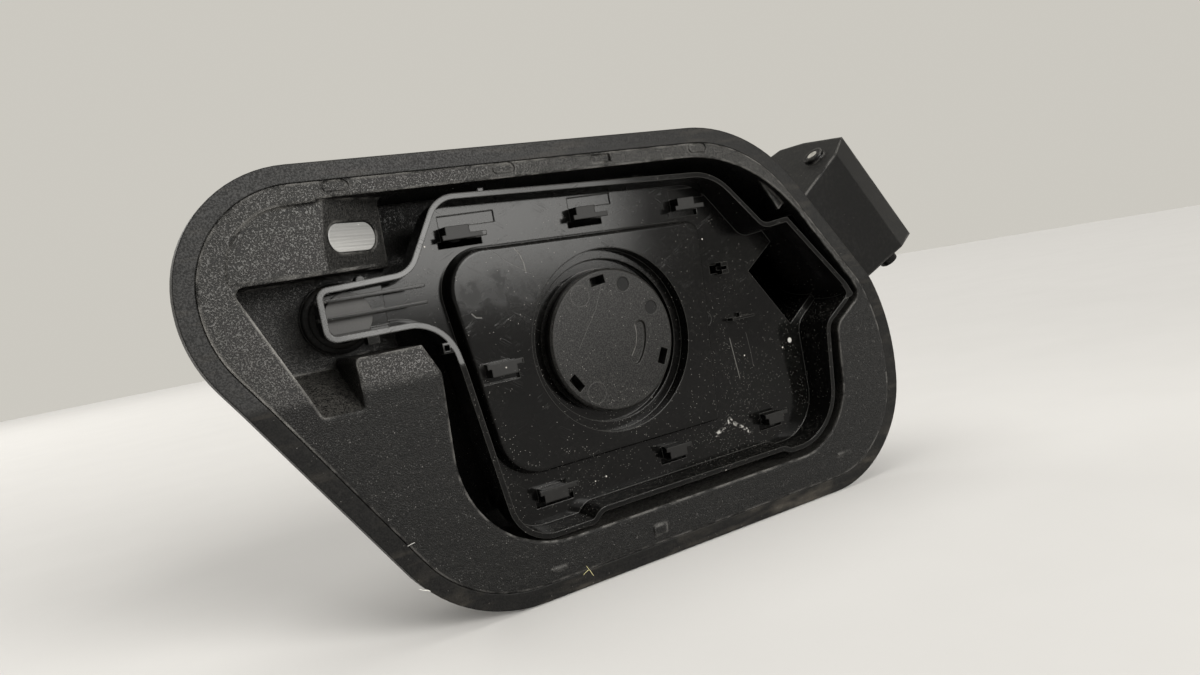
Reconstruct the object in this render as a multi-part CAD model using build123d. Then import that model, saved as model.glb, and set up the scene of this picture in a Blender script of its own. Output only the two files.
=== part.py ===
from build123d import *

import os
from math import cos, hypot, radians, sin, tan

# Car fuel door without its painted skin: a folded flange with a pocket behind it, and the flap carrier
# that closes the pocket. X runs along the flange's crease, Y into the car and Z up. The origin is the
# centre of the inlet opening, on the rear face of the pocket's rear wall. A depth is counted into the
# car from the face of the carrier's raised panel, and height and width from the inlet's axis.

# Walls, draft and clearances
WALL = 2.4
FLANGE_T = 2.5
CLEAR = 0.3
RUNNING = 0.06
ROOT = 0.2
DRAFT_DEG = 6.0
FILLET_ROOM = 0.98

# Fold of the flange
CREASE_Z = 3.0
CREASE_PROUD = 13.0
CREASE_R = 16.0
FOLD_DEG = 6.0

# Flap carrier: rim and tray
RIM_WALL = 2.2
RIM_SET_BACK = 1.0
TRAY_FLOOR = 7.0
TRAY_T = 2.2
RIM_TOP = 68.4
RIM_TOP_LEFT_X = -70.0
RIM_TOP_RIGHT = 64.6
RIM_TOP_RIGHT_X = 63.0
RIM_RIGHT = 113.4
RIM_BOTTOM = -68.2
RIM_BOTTOM_LEFT_X = -61.4
RIM_LEFT_X = -77.6
RIM_JOG = 3.8
RIM_JOG_X = -24.0
RIM_TOE = 2.0
RIM_TOE_RUN = 34.4
RIM_STEP_RUN = 4.0

# Tongue of the carrier, which the latch holds
TONGUE_LEFT = -120.6
TONGUE_TOP = 41.8
TONGUE_FALL = 1.4
TONGUE_NECK_X = -86.0
TONGUE_BOTTOM = 20.2
TONGUE_FLOOR = -2.0
TONGUE_RIB_T = 1.3
TONGUE_RIB_H = 4.6
TONGUE_RIB_END_X = -80.0
TONGUE_RIB_RISES = (-0.4, 5.8)

# Raised panel of the carrier
PANEL_LEFT = -70.0
PANEL_RIGHT = 54.0
PANEL_TOP = 46.0
PANEL_TILT = 2.4
PANEL_BOTTOM = -45.4
PANEL_BOTTOM_LEFT_X = -57.2
PANEL_BOTTOM_RIGHT_X = 47.0
PANEL_DRAFT = 10.0
PANEL_ROUND = 1.5

# Skin hooks on the carrier: width and height of the plate's centre, plate width and finger length
HOOK_RISE = 6.0
HOOK_HEIGHT = 5.2
HOOK_FINGER_T = 1.4
HOOK_FINGER_W = 2.0
HOOK_LIP = 1.6
HOOK_GAP = 2.6
HOOK_RECESS = 0.6
HOOK_RECESS_H = 4.6
PANEL_WINDOW = 1.5
UPPER_HOOKS = ((-60.0, 53.2, 10.0, 7.0), (-2.0, 54.0, 9.0, 6.0), (50.0, 51.8, 9.0, 5.0))
LOWER_HOOKS = ((-39.0, -55.6, 11.0, 5.0), (23.0, -53.9, 9.0, 3.0), (80.5, -52.7, 9.0, 3.0))
PANEL_HOOK = (-54.4, -1.2, 11.0, 3.0)
STUB_PLACE = (67.0, 20.6)
STUB_SIZE = (3.8, 5.4, 4.0)
STUB_SLOT = 1.6
BLADE_PLACE = (73.0, -3.4)
BLADE_SIZE = (13.0, 1.2, 4.0)
BLADE_GUSSET = 2.4
RIM_LOOP_DROP = 9.0
RIM_LOOP = 4.0
RIM_LOOP_WALL = 1.0
RIM_LOOP_BACK = 4.0
RIM_NUB_X = -49.2
RIM_NUB = 2.4
TONGUE_TAB_X = -103.6
TONGUE_TAB = 4.2
TONGUE_BOSS_R = 1.7

# Round insert and the well around it
DISC_R = 30.0
DISC_T = 2.6
DISC_EDGE = 1.0
SKIRT_R = 28.4
SKIRT_WALL = 2.0
WELL_R = 38.4
WELL_LEDGE_R = 34.4
WELL_LEDGE_DEPTH = 5.4
WELL_DEPTH = 8.0
CLIP_WINDOW_L = 7.0
CLIP_WINDOW_W = 3.6
CLIP_WINDOW_WALL = 0.9
CLIP_ANGLES = (97.0, 214.0, 333.0)
BEAN_CENTRE = (-4.2, 2.5)
BEAN_R = 18.4
BEAN_START = -43.0
BEAN_SWEEP = 45.0
BEAN_WIDTH = 5.0
BEAN_DEPTH = 1.0
BEAN_DRAFT = 25.0
DISC_MARKS = ((9.0, 22.0), (21.0, 10.0))
DISC_MARK_R = 3.0
DISC_MARK_DEPTH = 0.25
INSERT_SEAL_W = 4.6
INSERT_SEAL_T = 3.6

# Pocket around the carrier
FLAP_GAP = 2.4
JOG_GAP = 0.8
SIDE_GAP = 4.8
POCKET_REAR = 38.4
WINDOW_TOP = RIM_TOP + FLAP_GAP
WINDOW_BOTTOM = RIM_BOTTOM - RIM_JOG - JOG_GAP
WINDOW_LEFT = RIM_LEFT_X - SIDE_GAP
WINDOW_RIGHT = RIM_RIGHT + SIDE_GAP
WINDOW_TOP_RIGHT_X = 86.4

# Latch bay left of the pocket, and the step below it, whose floor slopes out to the flange
LATCH_BAY_DEPTH = 14.0
BAY_LEFT = -147.0
BAY_GAP = 2.6
BAY_LEDGE = 6.0
BAY_TOP = TONGUE_TOP + BAY_GAP
BAY_SILL = TONGUE_BOTTOM - BAY_LEDGE
BAY_STEP_X = -112.0
BAY_BOTTOM = -3.5
BAY_BOTTOM_LEFT_X = -126.5
CHUTE_DROP = 3.0
CHUTE_TOP = BAY_SILL - CHUTE_DROP
CHUTE_DEPTH = -11.0

# Lamp shelf above the latch bay, and the ramp that carries the lens
SHELF_DROP = 2.0
SHELF_SET = 2.0
SHELF_TOP = WINDOW_TOP - SHELF_SET
SHELF_R = 23.0
LIP_T = 1.1
LIP_END_X = -97.0
RAMP_X = -113.0
RAMP_DEPTH = -5.4
RAMP_DEG = 28.0
RAMP_END_X = -86.5
LENS_X = -100.2
LENS_Z = 56.8
LENS_LENGTH = 23.0
LENS_HEIGHT = 10.4
LENS_T = 2.3
LENS_SINK = 0.2

# Flange outline around the pocket
TOP_MARGIN = 13.0
BOTTOM_MARGIN = 22.4
LEFT_MARGIN = 17.5
RIGHT_MARGIN = 36.6
FLANGE_TOP = WINDOW_TOP + TOP_MARGIN
FLANGE_BOTTOM = WINDOW_BOTTOM - BOTTOM_MARGIN
FLANGE_LEFT = BAY_LEFT - LEFT_MARGIN
FLANGE_RIGHT = WINDOW_RIGHT + RIGHT_MARGIN
FLANGE_TOP_RIGHT_X = 88.9
FLANGE_SLANT_Z = -17.3
FLANGE_BOTTOM_LEFT_X = -87.3
FLANGE_LEFT_Z = 23.9

# Soft lip round the flange
SEAL_WIDTH = 7.0
SEAL_LIP = 2.4
SEAL_T = 1.2
SEAL_DROP = 0.3
SEAL_BACK = 6.5

# Inlet opening and its screws
INLET_R = 33.0
INLET_COLLAR = 8.0
SCREW_SPACING = 78.0
SCREW_R = 2.75
SCREW_BOSS_R = 6.0
SCREW_BOSS_H = 6.0
GASKET_SET = 1.2
GASKET_W = 5.0
GASKET_T = 2.6

# Drain under the pocket
DRAIN_X = 18.0
DRAIN_DEPTH = 27.0
DRAIN_R = 3.6
DRAIN_WALL = 1.6
DRAIN_LENGTH = 15.0
GROMMET_R = 7.4
GROMMET_H = 6.0

# Hinge: a pin on a slanted axis, in a box behind the flange
HINGE_X = 159.2
HINGE_Z = 36.7
HINGE_DEPTH = 8.0
HINGE_TILT = 35.5
PIN_R = 2.5
PIN_BOSS_R = 5.2
PIN_BOSS_H = 2.8
PIN_CLIP_R = 4.7
PIN_CLIP_T = 4.6
BOX_TOP = -34.7
BOX_END = 30.7
BOX_LOW_END = 20.5
BOX_BEND = -30.0
BOX_LEFT = -86.4
BOX_RIGHT = 19.5
BOX_FRONT = 14.0
BOX_FLOOR = -57.9
BOX_RIDGE = 14.0
BOX_RIDGE_DROP = 5.0
BOX_SIDE_FRONT = -22.0
BOX_SIDE_BACK = -40.0

# Arm of the carrier, a gooseneck from the tray to the pin, given outwards and forwards of the pin
HEEL_OUT = -47.0
HEEL_TOP = -36.5
HEEL_END = 15.3
HEEL_GAP = 2.7
HEEL_FOOT_OUT = -67.5
HEEL_SHOULDER_OUT = -60.0
HEEL_SHOULDER = -44.0
GUSSET_DEPTH = -4.0
GUSSET_T = 1.6
GUSSET_START = -62.0
GUSSET_END = -40.0
GUSSET_W = 1.6
SWING_CLEAR = 1.6
ARM_TOP = -30.0
ARM_END = 10.0
ARM_WALL = 2.4
ARM_LEFT = -75.4
ARM_BOTTOM = -53.2
ARM_FOOT_LEFT = -36.0
ARM_FOOT_RIGHT = -10.0
CHEEK_W = 11.5
CHEEK_T = 4.0
WEB_T = 5.0
BARREL_R = 7.0
BUSH_WALL = 1.6
BUSH_LENGTH = 10.0
SPRING_WIRE_R = 0.8
SPRING_R = 5.0
SPRING_TURNS = 4

# Push latch behind the tongue
LATCH_X = -108.8
LATCH_Z = 28.8
SEAT_R = 8.6
SEAT_T = 1.4
SOCKET_R = 5.6
SOCKET_WALL = 1.4
SOCKET_LENGTH = 5.0
PLUNGER_HEAD_R = 4.9
PLUNGER_HEAD_L = 3.4
PLUNGER_EDGE = 1.6
PLUNGER_R = 4.0
PLUNGER_STROKE = 7.0
COLLAR_R = 6.8
COLLAR_T = 2.0
COLLAR_SET = 3.0
BOOT_R = 13.2
BOOT_TIP_R = 9.4
BOOT_GAP = 0.7
BOOT_SET = 1.0
BOOT_WALL = 1.3
BOOT_FOLDS = 3
BOOT_WAVE = 1.6
LATCH_FLANGE_R = 13.4
LATCH_FLANGE_T = 1.8
LATCH_TUBE_R = 10.5
LATCH_CHAMBER_R = 7.3
LATCH_FRONT_L = 16.0
LATCH_REAR_L = 16.0
LOCK_RING_R = 14.6
LOCK_RING_T = 3.0
LOCK_RING_GRIPS = 6
LOCK_RING_GRIP_R = 1.4
SLEEVE_R = 6.4
SLEEVE_LENGTH = 3.6
SLEEVE_TEETH = 4
SLEEVE_TOOTH = 1.6
COVER_SPIGOT = 1.4
LATCH_WIRE_R = 0.55
LATCH_SPRING_R = 5.3
LATCH_SPRING_TURNS = 5

# Lamp behind the lens
LAMP_LENGTH = 25.4
LAMP_HEIGHT = 15.0
LAMP_DEPTH = 13.0
LAMP_WALL = 1.6
LAMP_CORNER = 2.0
BOARD_T = 1.6
LED_PITCH = 6.0
LED_SIZE = (3.0, 2.6)
LED_H = 1.0
SOCKET_SIZE = (12.0, 8.0)
SOCKET_DEPTH = 9.0
SOCKET_SHELL = 1.2

# Rubber stops behind the carrier
STOP_PLACES = ((-58.0, 56.0), (-50.0, -58.0))
STOP_POST_R = 4.0
STOP_R = 6.0
STOP_H = 6.5
STOP_SLEEVE = 4.0

# Clips that hold the flange in the body panel, the blades they sit on, and the marks on the flange
BLADE_WIDTH = 7.0
BLADE_T = 1.8
BLADE_LENGTH = 12.5
CLIP_WIDTH = 9.0
CLIP_T = 0.9
CLIP_LENGTH = 11.0
CLIP_HALF = BLADE_T / 2 + RUNNING + CLIP_T
TOP_CLIP_XS = (-105.3, -39.2, 56.0)
BOTTOM_CLIP_XS = (-60.0, 3.4, 112.0)
TOP_CLIP_Z = WINDOW_TOP + WALL + CLEAR + CLIP_HALF
BOTTOM_CLIP_Z = WINDOW_BOTTOM - WALL - CLEAR - CLIP_HALF
MARK_LENGTH = 10.0
MARK_WIDTH = 4.6
MARK_LINE = 0.7
MARK_DEPTH = 0.5
MARK_RISE = 3.7
MARK_Z = WINDOW_TOP + MARK_RISE
NOTCH_X = 5.9
NOTCH_SIZE = (9.0, 3.4)
TAB_X = 3.4
TAB_DROP = 9.6
TAB_SIZE = (6.6, 4.2)
TAB_RISE = 0.6
DASHES = ((-46.2, -83.7, 6.3), (114.1, -78.0, 9.0))
DASH_H = 1.3
DASH_RISE = 0.4

# Stiffening ribs behind the flange
RIB_T = 1.8
RIB_DEPTH = 9.0
TOP_RIB_XS = (-72.0, -10.0, 32.0)
BOTTOM_RIB_XS = (-34.0, 28.0, 72.0)
LEFT_RIB_ZS = (-50.0, -20.0)

# Worked out from the sizes above
FAR = 400.0
SLOPE = tan(radians(FOLD_DEG))
FLOOR_BACK = TRAY_FLOOR + TRAY_T
RIM_TOE_X = RIM_RIGHT - RIM_TOE_RUN
PIN_TOP = BOX_TOP - PIN_BOSS_H
PIN_END = BOX_END + PIN_CLIP_T + ROOT
GOOSE_R = hypot(HEEL_OUT + HEEL_GAP, HINGE_DEPTH + CREASE_PROUD) + SWING_CLEAR
TONGUE_STEP_X = LATCH_X + (BOOT_TIP_R + BOOT_R) / 2 + BOOT_GAP + TRAY_T
SEAT_FRONT = TONGUE_FLOOR - SEAT_T
BOOT_FRONT = TONGUE_FLOOR + SOCKET_LENGTH + BOOT_SET
COLLAR_DEPTH = LATCH_BAY_DEPTH + COLLAR_SET
LATCH_PARTITION = LATCH_BAY_DEPTH + LATCH_FRONT_L
LATCH_REAR = LATCH_PARTITION + LATCH_REAR_L
SCREW_PLACES = [(sx * SCREW_SPACING / 2, sz * SCREW_SPACING / 2) for sx in (-1, 1) for sz in (-1, 1)]
CLIP_PLACES = [(x, TOP_CLIP_Z) for x in TOP_CLIP_XS] + [(x, BOTTOM_CLIP_Z) for x in BOTTOM_CLIP_XS]


def y_of(depth):
    """Y of a depth behind the raised panel's face."""
    return depth - POCKET_REAR


TILT = radians(HINGE_TILT)
HINGE = Plane(origin=(HINGE_X, y_of(HINGE_DEPTH), HINGE_Z), x_dir=(cos(TILT), 0, sin(TILT)),
              z_dir=(sin(TILT), 0, -cos(TILT)))


def hinge_point(out, along):
    """X and Z of a point given outwards from the hinge axis and along it."""
    place = HINGE.from_local_coords((out, 0, along))
    return place.X, place.Z


def outline(corners):
    """Face in X and Z from corners with their radii, each limited by the straight runs beside it."""
    points = [Vector(x, z) for x, z, _ in corners]
    count = len(points)
    runs = [points[(i + 1) % count] - points[i] for i in range(count)]
    tangents = [corners[i][2] * tan(radians(runs[i - 1].get_angle(runs[i]) / 2)) for i in range(count)]
    room = [FILLET_ROOM * runs[i].length / (tangents[i] + tangents[(i + 1) % count] + RUNNING)
            for i in range(count)]
    radii = [corners[i][2] * min(1, room[i - 1], room[i]) for i in range(count)]
    return make_face(FilletPolyline(*[(point.X, point.Y) for point in points], radius=radii, close=True))


def prism(face, front, back):
    """Extrude a face of X and Z from one depth to another."""
    return extrude(Plane.XZ.offset(-y_of(front)) * face, amount=back - front, dir=(0, 1, 0))


def through(face):
    """Extrude a face of X and Z through everything."""
    return prism(face, -FAR, FAR)


def drafted(face, front, back, taper):
    """Extrude a face of X and Z with draft, by turning it to face into the car."""
    placed = Plane(origin=(0, y_of(front), 0), x_dir=(-1, 0, 0), z_dir=(0, 1, 0))
    return extrude(placed * mirror(face, about=Plane.YZ), amount=back - front, taper=taper)


def block(x0, x1, d0, d1, z0, z1):
    """Box between two widths, two depths and two heights."""
    return Pos((x0 + x1) / 2, (y_of(d0) + y_of(d1)) / 2, (z0 + z1) / 2) * Box(x1 - x0, d1 - d0, z1 - z0)


def pad(x, z, width, height, front, back):
    """Box centred on a width and a height, between two depths."""
    return block(x - width / 2, x + width / 2, front, back, z - height / 2, z + height / 2)


def barrel(x, z, radius, front, back):
    """Cylinder along Y between two depths."""
    return prism(Pos(x, z) * Circle(radius), front, back)


def ring(x, z, outer, inner, front, back):
    """Tube along Y between two depths."""
    return prism(Pos(x, z) * (Circle(outer) - Circle(inner)), front, back)


def section(*points):
    """Face from straight runs between points."""
    return make_face(Polyline(*points, close=True))


def fold_depth(z):
    """Depth of the flange's front face at a height."""
    return -CREASE_PROUD + abs(z - CREASE_Z) * SLOPE


def folded(front, back):
    """Sheet that follows the flange's fold, between two depths behind its front face."""
    reach = FAR * SLOPE
    ridge = y_of(-CREASE_PROUD)
    points = [(ridge + reach + front, CREASE_Z + FAR), (ridge + front, CREASE_Z),
              (ridge + reach + front, CREASE_Z - FAR), (ridge + reach + back, CREASE_Z - FAR),
              (ridge + back, CREASE_Z), (ridge + reach + back, CREASE_Z + FAR)]
    radii = [0, CREASE_R, 0, 0, CREASE_R, 0]
    return extrude(Plane.YZ * make_face(FilletPolyline(*points, radius=radii, close=True)), FAR, both=True)


def along_hinge(face, start, end):
    """Extrude a face given outwards and forwards of the hinge axis, between two places along the axis."""
    return extrude(HINGE.offset(start) * face, amount=end - start)


def coil(radius, wire, height, turns):
    """Round wire wound up along Z, its middle line starting at the origin's height."""
    path = Helix(pitch=height / turns, height=height, radius=radius)
    return sweep(Plane(origin=path @ 0, z_dir=path % 0) * Circle(wire), path=path, is_frenet=True)


FLANGE = outline([
    (FLANGE_LEFT, FLANGE_TOP, 44), (FLANGE_TOP_RIGHT_X, FLANGE_TOP, 66),
    (FLANGE_RIGHT, FLANGE_SLANT_Z, 100), (FLANGE_RIGHT, FLANGE_BOTTOM, 47),
    (FLANGE_BOTTOM_LEFT_X, FLANGE_BOTTOM, 62), (FLANGE_LEFT, FLANGE_LEFT_Z, 50)])

WINDOW = outline([
    (RAMP_END_X, WINDOW_TOP, 3), (WINDOW_TOP_RIGHT_X, WINDOW_TOP, 70),
    (*hinge_point(HEEL_OUT + HEEL_GAP, HEEL_END + HEEL_GAP), 5),
    (*hinge_point(HEEL_FOOT_OUT + HEEL_GAP, HEEL_END + HEEL_GAP), 8),
    (WINDOW_RIGHT, WINDOW_BOTTOM, 30), (WINDOW_LEFT, WINDOW_BOTTOM, 45),
    (WINDOW_LEFT, CREASE_Z, 6), (RAMP_END_X - 1, BAY_SILL, 2)])

BAY = outline([
    (BAY_LEFT, BAY_TOP, 3), (WINDOW_LEFT + WALL, BAY_TOP, 0), (WINDOW_LEFT + WALL, BAY_SILL, 0),
    (BAY_STEP_X, BAY_SILL, 2), (BAY_STEP_X, BAY_BOTTOM, 1), (BAY_BOTTOM_LEFT_X, BAY_BOTTOM, 2)])

SHELF = outline([
    (BAY_LEFT, BAY_TOP, 0), (BAY_LEFT, SHELF_TOP, SHELF_R), (RAMP_END_X + WALL, WINDOW_TOP, 0),
    (RAMP_END_X + WALL, BAY_TOP, 0)])

RIM = outline([
    (TONGUE_LEFT, TONGUE_TOP - TONGUE_FALL, 5), (TONGUE_NECK_X, TONGUE_TOP, 9),
    (RIM_TOP_LEFT_X, RIM_TOP, 14), (RIM_TOP_RIGHT_X, RIM_TOP_RIGHT, 25),
    (*hinge_point(HEEL_SHOULDER_OUT, HEEL_SHOULDER), 5), (*hinge_point(HEEL_OUT, HEEL_TOP), 5),
    (*hinge_point(HEEL_OUT, HEEL_END), 5), (*hinge_point(HEEL_FOOT_OUT, HEEL_END), 6),
    (RIM_RIGHT, RIM_BOTTOM - RIM_TOE, 26), (RIM_TOE_X + RIM_STEP_RUN / 2, RIM_BOTTOM - RIM_TOE, 6),
    (RIM_TOE_X - RIM_STEP_RUN / 2, RIM_BOTTOM, 5), (RIM_JOG_X + RIM_STEP_RUN / 2, RIM_BOTTOM, 4),
    (RIM_JOG_X - RIM_STEP_RUN / 2, RIM_BOTTOM - RIM_JOG, 5), (RIM_BOTTOM_LEFT_X, RIM_BOTTOM - RIM_JOG, 21),
    (RIM_LEFT_X, TONGUE_BOTTOM, 15), (TONGUE_LEFT, TONGUE_BOTTOM, 5)])

PANEL = outline([
    (PANEL_LEFT, PANEL_TOP, 16), (PANEL_RIGHT, PANEL_TOP - PANEL_TILT, 6),
    (PANEL_BOTTOM_RIGHT_X, PANEL_BOTTOM, 2), (PANEL_BOTTOM_LEFT_X, PANEL_BOTTOM, 18)])


def ramp(behind):
    """Wedge in front of the lamp ramp, the ramp set back and the wedge made higher by a wall."""
    reach = WINDOW_LEFT + WALL - RAMP_X
    back = RAMP_DEPTH + behind
    face = section((RAMP_X, y_of(back)), (RAMP_X + reach, y_of(back + reach * tan(radians(RAMP_DEG)))),
                   (RAMP_X + reach, y_of(-FAR)), (RAMP_X, y_of(-FAR)))
    return extrude(Plane.XY.offset(BAY_TOP) * face, WINDOW_TOP + behind - BAY_TOP)


def chute(behind):
    """Space behind the sloping floor of the latch bay's step, the floor set back by a wall."""
    run, rise = LATCH_BAY_DEPTH - CHUTE_DEPTH, CHUTE_TOP - BAY_BOTTOM
    back = behind * hypot(run, rise) / rise
    face = section((y_of(CHUTE_DEPTH + back), BAY_BOTTOM), (y_of(LATCH_BAY_DEPTH + back), CHUTE_TOP),
                   (y_of(FAR), CHUTE_TOP), (y_of(FAR), BAY_BOTTOM))
    return extrude(Plane.YZ.offset(BAY_STEP_X) * face, -FAR)


SLANT = radians(RAMP_DEG)
RAMP = Plane(origin=(LENS_X, y_of(RAMP_DEPTH + (LENS_X - RAMP_X) * tan(SLANT)), LENS_Z),
             x_dir=(cos(SLANT), sin(SLANT), 0), z_dir=(-sin(SLANT), cos(SLANT), 0))


def on_ramp(face, start, end):
    """Extrude a face of the lamp's own plane between two distances behind the ramp."""
    return extrude(RAMP.offset(start) * face, amount=end - start)


def hinge_box(inset):
    """Section of the hinge box, its faces drawn in by an inset."""
    left, right = BOX_LEFT + inset, BOX_RIGHT - inset
    front, floor = BOX_FRONT - inset, BOX_FLOOR + inset
    return section((left, front), (-inset / 3, front), (BOX_RIDGE - inset, front - BOX_RIDGE_DROP),
                   (right, BOX_SIDE_FRONT), (right, BOX_SIDE_BACK + inset / 2), (0, floor), (left, floor))


def box_space(inset):
    """Hinge box with its faces drawn in by an inset. Its lower end slants up towards the flange."""
    end, low = BOX_END - inset, BOX_LOW_END - inset
    below = section(hinge_point(FAR, end), hinge_point(BOX_RIDGE, end), hinge_point(BOX_BEND, low),
                    hinge_point(-FAR, low), hinge_point(-FAR, FAR), hinge_point(FAR, FAR))
    return along_hinge(hinge_box(inset), BOX_TOP + inset, end) - through(below)


def make_ribs():
    """Stiffening ribs behind the flange, kept clear of its soft lip."""
    half = RIB_T / 2
    reach = [block(x - half, x + half, -FAR, FAR, WINDOW_TOP, FAR) for x in TOP_RIB_XS]
    reach += [block(x - half, x + half, -FAR, FAR, -FAR, WINDOW_BOTTOM) for x in BOTTOM_RIB_XS]
    reach += [block(-FAR, WINDOW_LEFT, -FAR, FAR, z - half, z + half) for z in LEFT_RIB_ZS]
    inside = through(offset(FLANGE, -SEAL_LIP - WALL)) & folded(FLANGE_T - ROOT, RIB_DEPTH)
    return [rib & inside for rib in reach]


def make_housing():
    flange = through(FLANGE) & folded(0, FLANGE_T)
    rebate = through(FLANGE - offset(FLANGE, -SEAL_WIDTH)) & folded(-CREASE_PROUD, SEAL_T + SEAL_DROP)
    edge = through(FLANGE - offset(FLANGE, -SEAL_LIP))
    body = flange - rebate - edge

    # Outer walls, taken a little past the flange's face and trimmed to it below
    front = -CREASE_PROUD - ROOT
    body += prism(offset(WINDOW, WALL), front, POCKET_REAR)
    body += prism(offset(BAY, WALL), front, LATCH_BAY_DEPTH + WALL)
    body += through(offset(SHELF, WALL)) & folded(0, SHELF_DROP + WALL)
    body += ramp(WALL) & block(RAMP_X, RAMP_END_X, RAMP_DEPTH - WALL, FAR, BAY_TOP, FAR)
    body += box_space(0)
    body += along_hinge(Circle(PIN_BOSS_R), PIN_TOP, BOX_TOP + WALL)
    body += ring(0, 0, INLET_R + WALL, INLET_R, POCKET_REAR - WALL, POCKET_REAR + INLET_COLLAR)
    for x, z in SCREW_PLACES:
        body += barrel(x, z, SCREW_BOSS_R, POCKET_REAR - WALL, POCKET_REAR + SCREW_BOSS_H)
    body += make_ribs()
    for x, z in CLIP_PLACES:
        body += pad(x, z, BLADE_WIDTH, BLADE_T, fold_depth(z), fold_depth(z) + FLANGE_T + BLADE_LENGTH)

    # Hollows
    body -= prism(WINDOW, -FAR, POCKET_REAR - WALL)
    body -= prism(BAY, -FAR, LATCH_BAY_DEPTH) - chute(0)
    body -= through(BAY) & chute(WALL)
    lip = body & block(BAY_LEFT, LIP_END_X, -FAR, LATCH_BAY_DEPTH, BAY_TOP, BAY_TOP + LIP_T)
    body -= through(SHELF) & folded(-FAR, SHELF_DROP)
    body -= ramp(0)
    body += lip
    body -= box_space(WALL)
    body -= folded(-FAR, 0)
    body += along_hinge(Circle(PIN_BOSS_R), BOX_LOW_END, BOX_END)

    # Gusset in the window's corner above the carrier's heel
    near = HEEL_OUT + HEEL_GAP
    corner = section(hinge_point(near, GUSSET_START), hinge_point(near - GUSSET_W, GUSSET_END),
                     hinge_point(FAR, GUSSET_END), hinge_point(FAR, GUSSET_START))
    body += prism(corner & offset(WINDOW, WALL / 2), GUSSET_DEPTH, GUSSET_DEPTH + GUSSET_T)

    # Openings for what is fitted
    body -= barrel(0, 0, INLET_R, 0, FAR)
    for x, z in SCREW_PLACES:
        body -= barrel(x, z, SCREW_R, 0, FAR)
    body -= barrel(LATCH_X, LATCH_Z, LATCH_TUBE_R + CLEAR, 0, FAR)
    body -= on_ramp(SlotOverall(LENS_LENGTH + 2 * CLEAR, LENS_HEIGHT + 2 * CLEAR), -LAMP_DEPTH, LAMP_DEPTH)
    body -= along_hinge(Circle(PIN_R + RUNNING), PIN_TOP - WALL, PIN_END + WALL)

    # Drain spout, stop posts and the marks on the flange
    spout = Pos(DRAIN_X, y_of(DRAIN_DEPTH), WINDOW_BOTTOM - DRAIN_LENGTH / 2)
    body += spout * Cylinder(DRAIN_R + DRAIN_WALL, DRAIN_LENGTH)
    body -= spout * Pos(0, 0, WALL) * Cylinder(DRAIN_R, DRAIN_LENGTH + 4 * WALL)
    for x, z in STOP_PLACES:
        body += barrel(x, z, STOP_POST_R, FLOOR_BACK + STOP_H, POCKET_REAR - WALL)
    mark = SlotOverall(MARK_LENGTH, MARK_WIDTH)
    mark -= SlotOverall(MARK_LENGTH - 2 * MARK_LINE, MARK_WIDTH - 2 * MARK_LINE)
    for x in TOP_CLIP_XS:
        body -= through(Pos(x, MARK_Z) * mark) & folded(-ROOT, MARK_DEPTH)
    body -= through(Pos(NOTCH_X, MARK_Z) * Rectangle(*NOTCH_SIZE)) & folded(-ROOT, FLANGE_T / 2)
    body += through(Pos(TAB_X, WINDOW_BOTTOM - TAB_DROP) * Rectangle(*TAB_SIZE)) & folded(-TAB_RISE, ROOT)
    for x, z, length in DASHES:
        body += through(Pos(x, z) * Rectangle(length, DASH_H)) & folded(-DASH_RISE, ROOT)
    return body


def make_rim_seal():
    band = through(FLANGE - offset(FLANGE, CLEAR - SEAL_WIDTH)) & folded(SEAL_DROP, SEAL_DROP + SEAL_T)
    lip = through(FLANGE - offset(FLANGE, -SEAL_LIP)) & folded(SEAL_DROP, SEAL_BACK)
    return band + lip - box_space(-CLEAR)


def hook(x, z, width, finger, base, side):
    """Skin hook: a post with a flat finger along its lower or upper edge, side being -1 or 1."""
    top = base - HOOK_RISE
    post = pad(x, z, width, HOOK_HEIGHT, top, base + ROOT)
    edge = z + side * (HOOK_HEIGHT - HOOK_FINGER_W) / 2
    left, right = x - width / 2 - HOOK_LIP, x + width / 2 + finger
    return post + pad((left + right) / 2, edge, right - left, HOOK_FINGER_W, top, top + HOOK_FINGER_T)


def hook_window(x, z, width, finger, front, back):
    """Tool window below a hook, between two depths."""
    left, right = x - width / 2 - HOOK_LIP, x + width / 2 + finger
    low = z - (HOOK_HEIGHT + HOOK_GAP) / 2
    return pad((left + right) / 2, low, right - left, HOOK_GAP, front, back)


def hook_recess(x, z, width, finger):
    """Shallow recess above a hook on the tray's floor."""
    left, right = x - width / 2, x + width / 2 + 2 * finger
    high = z + (HOOK_HEIGHT + HOOK_RECESS_H) / 2
    floor = TRAY_FLOOR + HOOK_RECESS
    return pad((left + right) / 2, high, right - left, HOOK_RECESS_H, TRAY_FLOOR - ROOT, floor)


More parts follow.
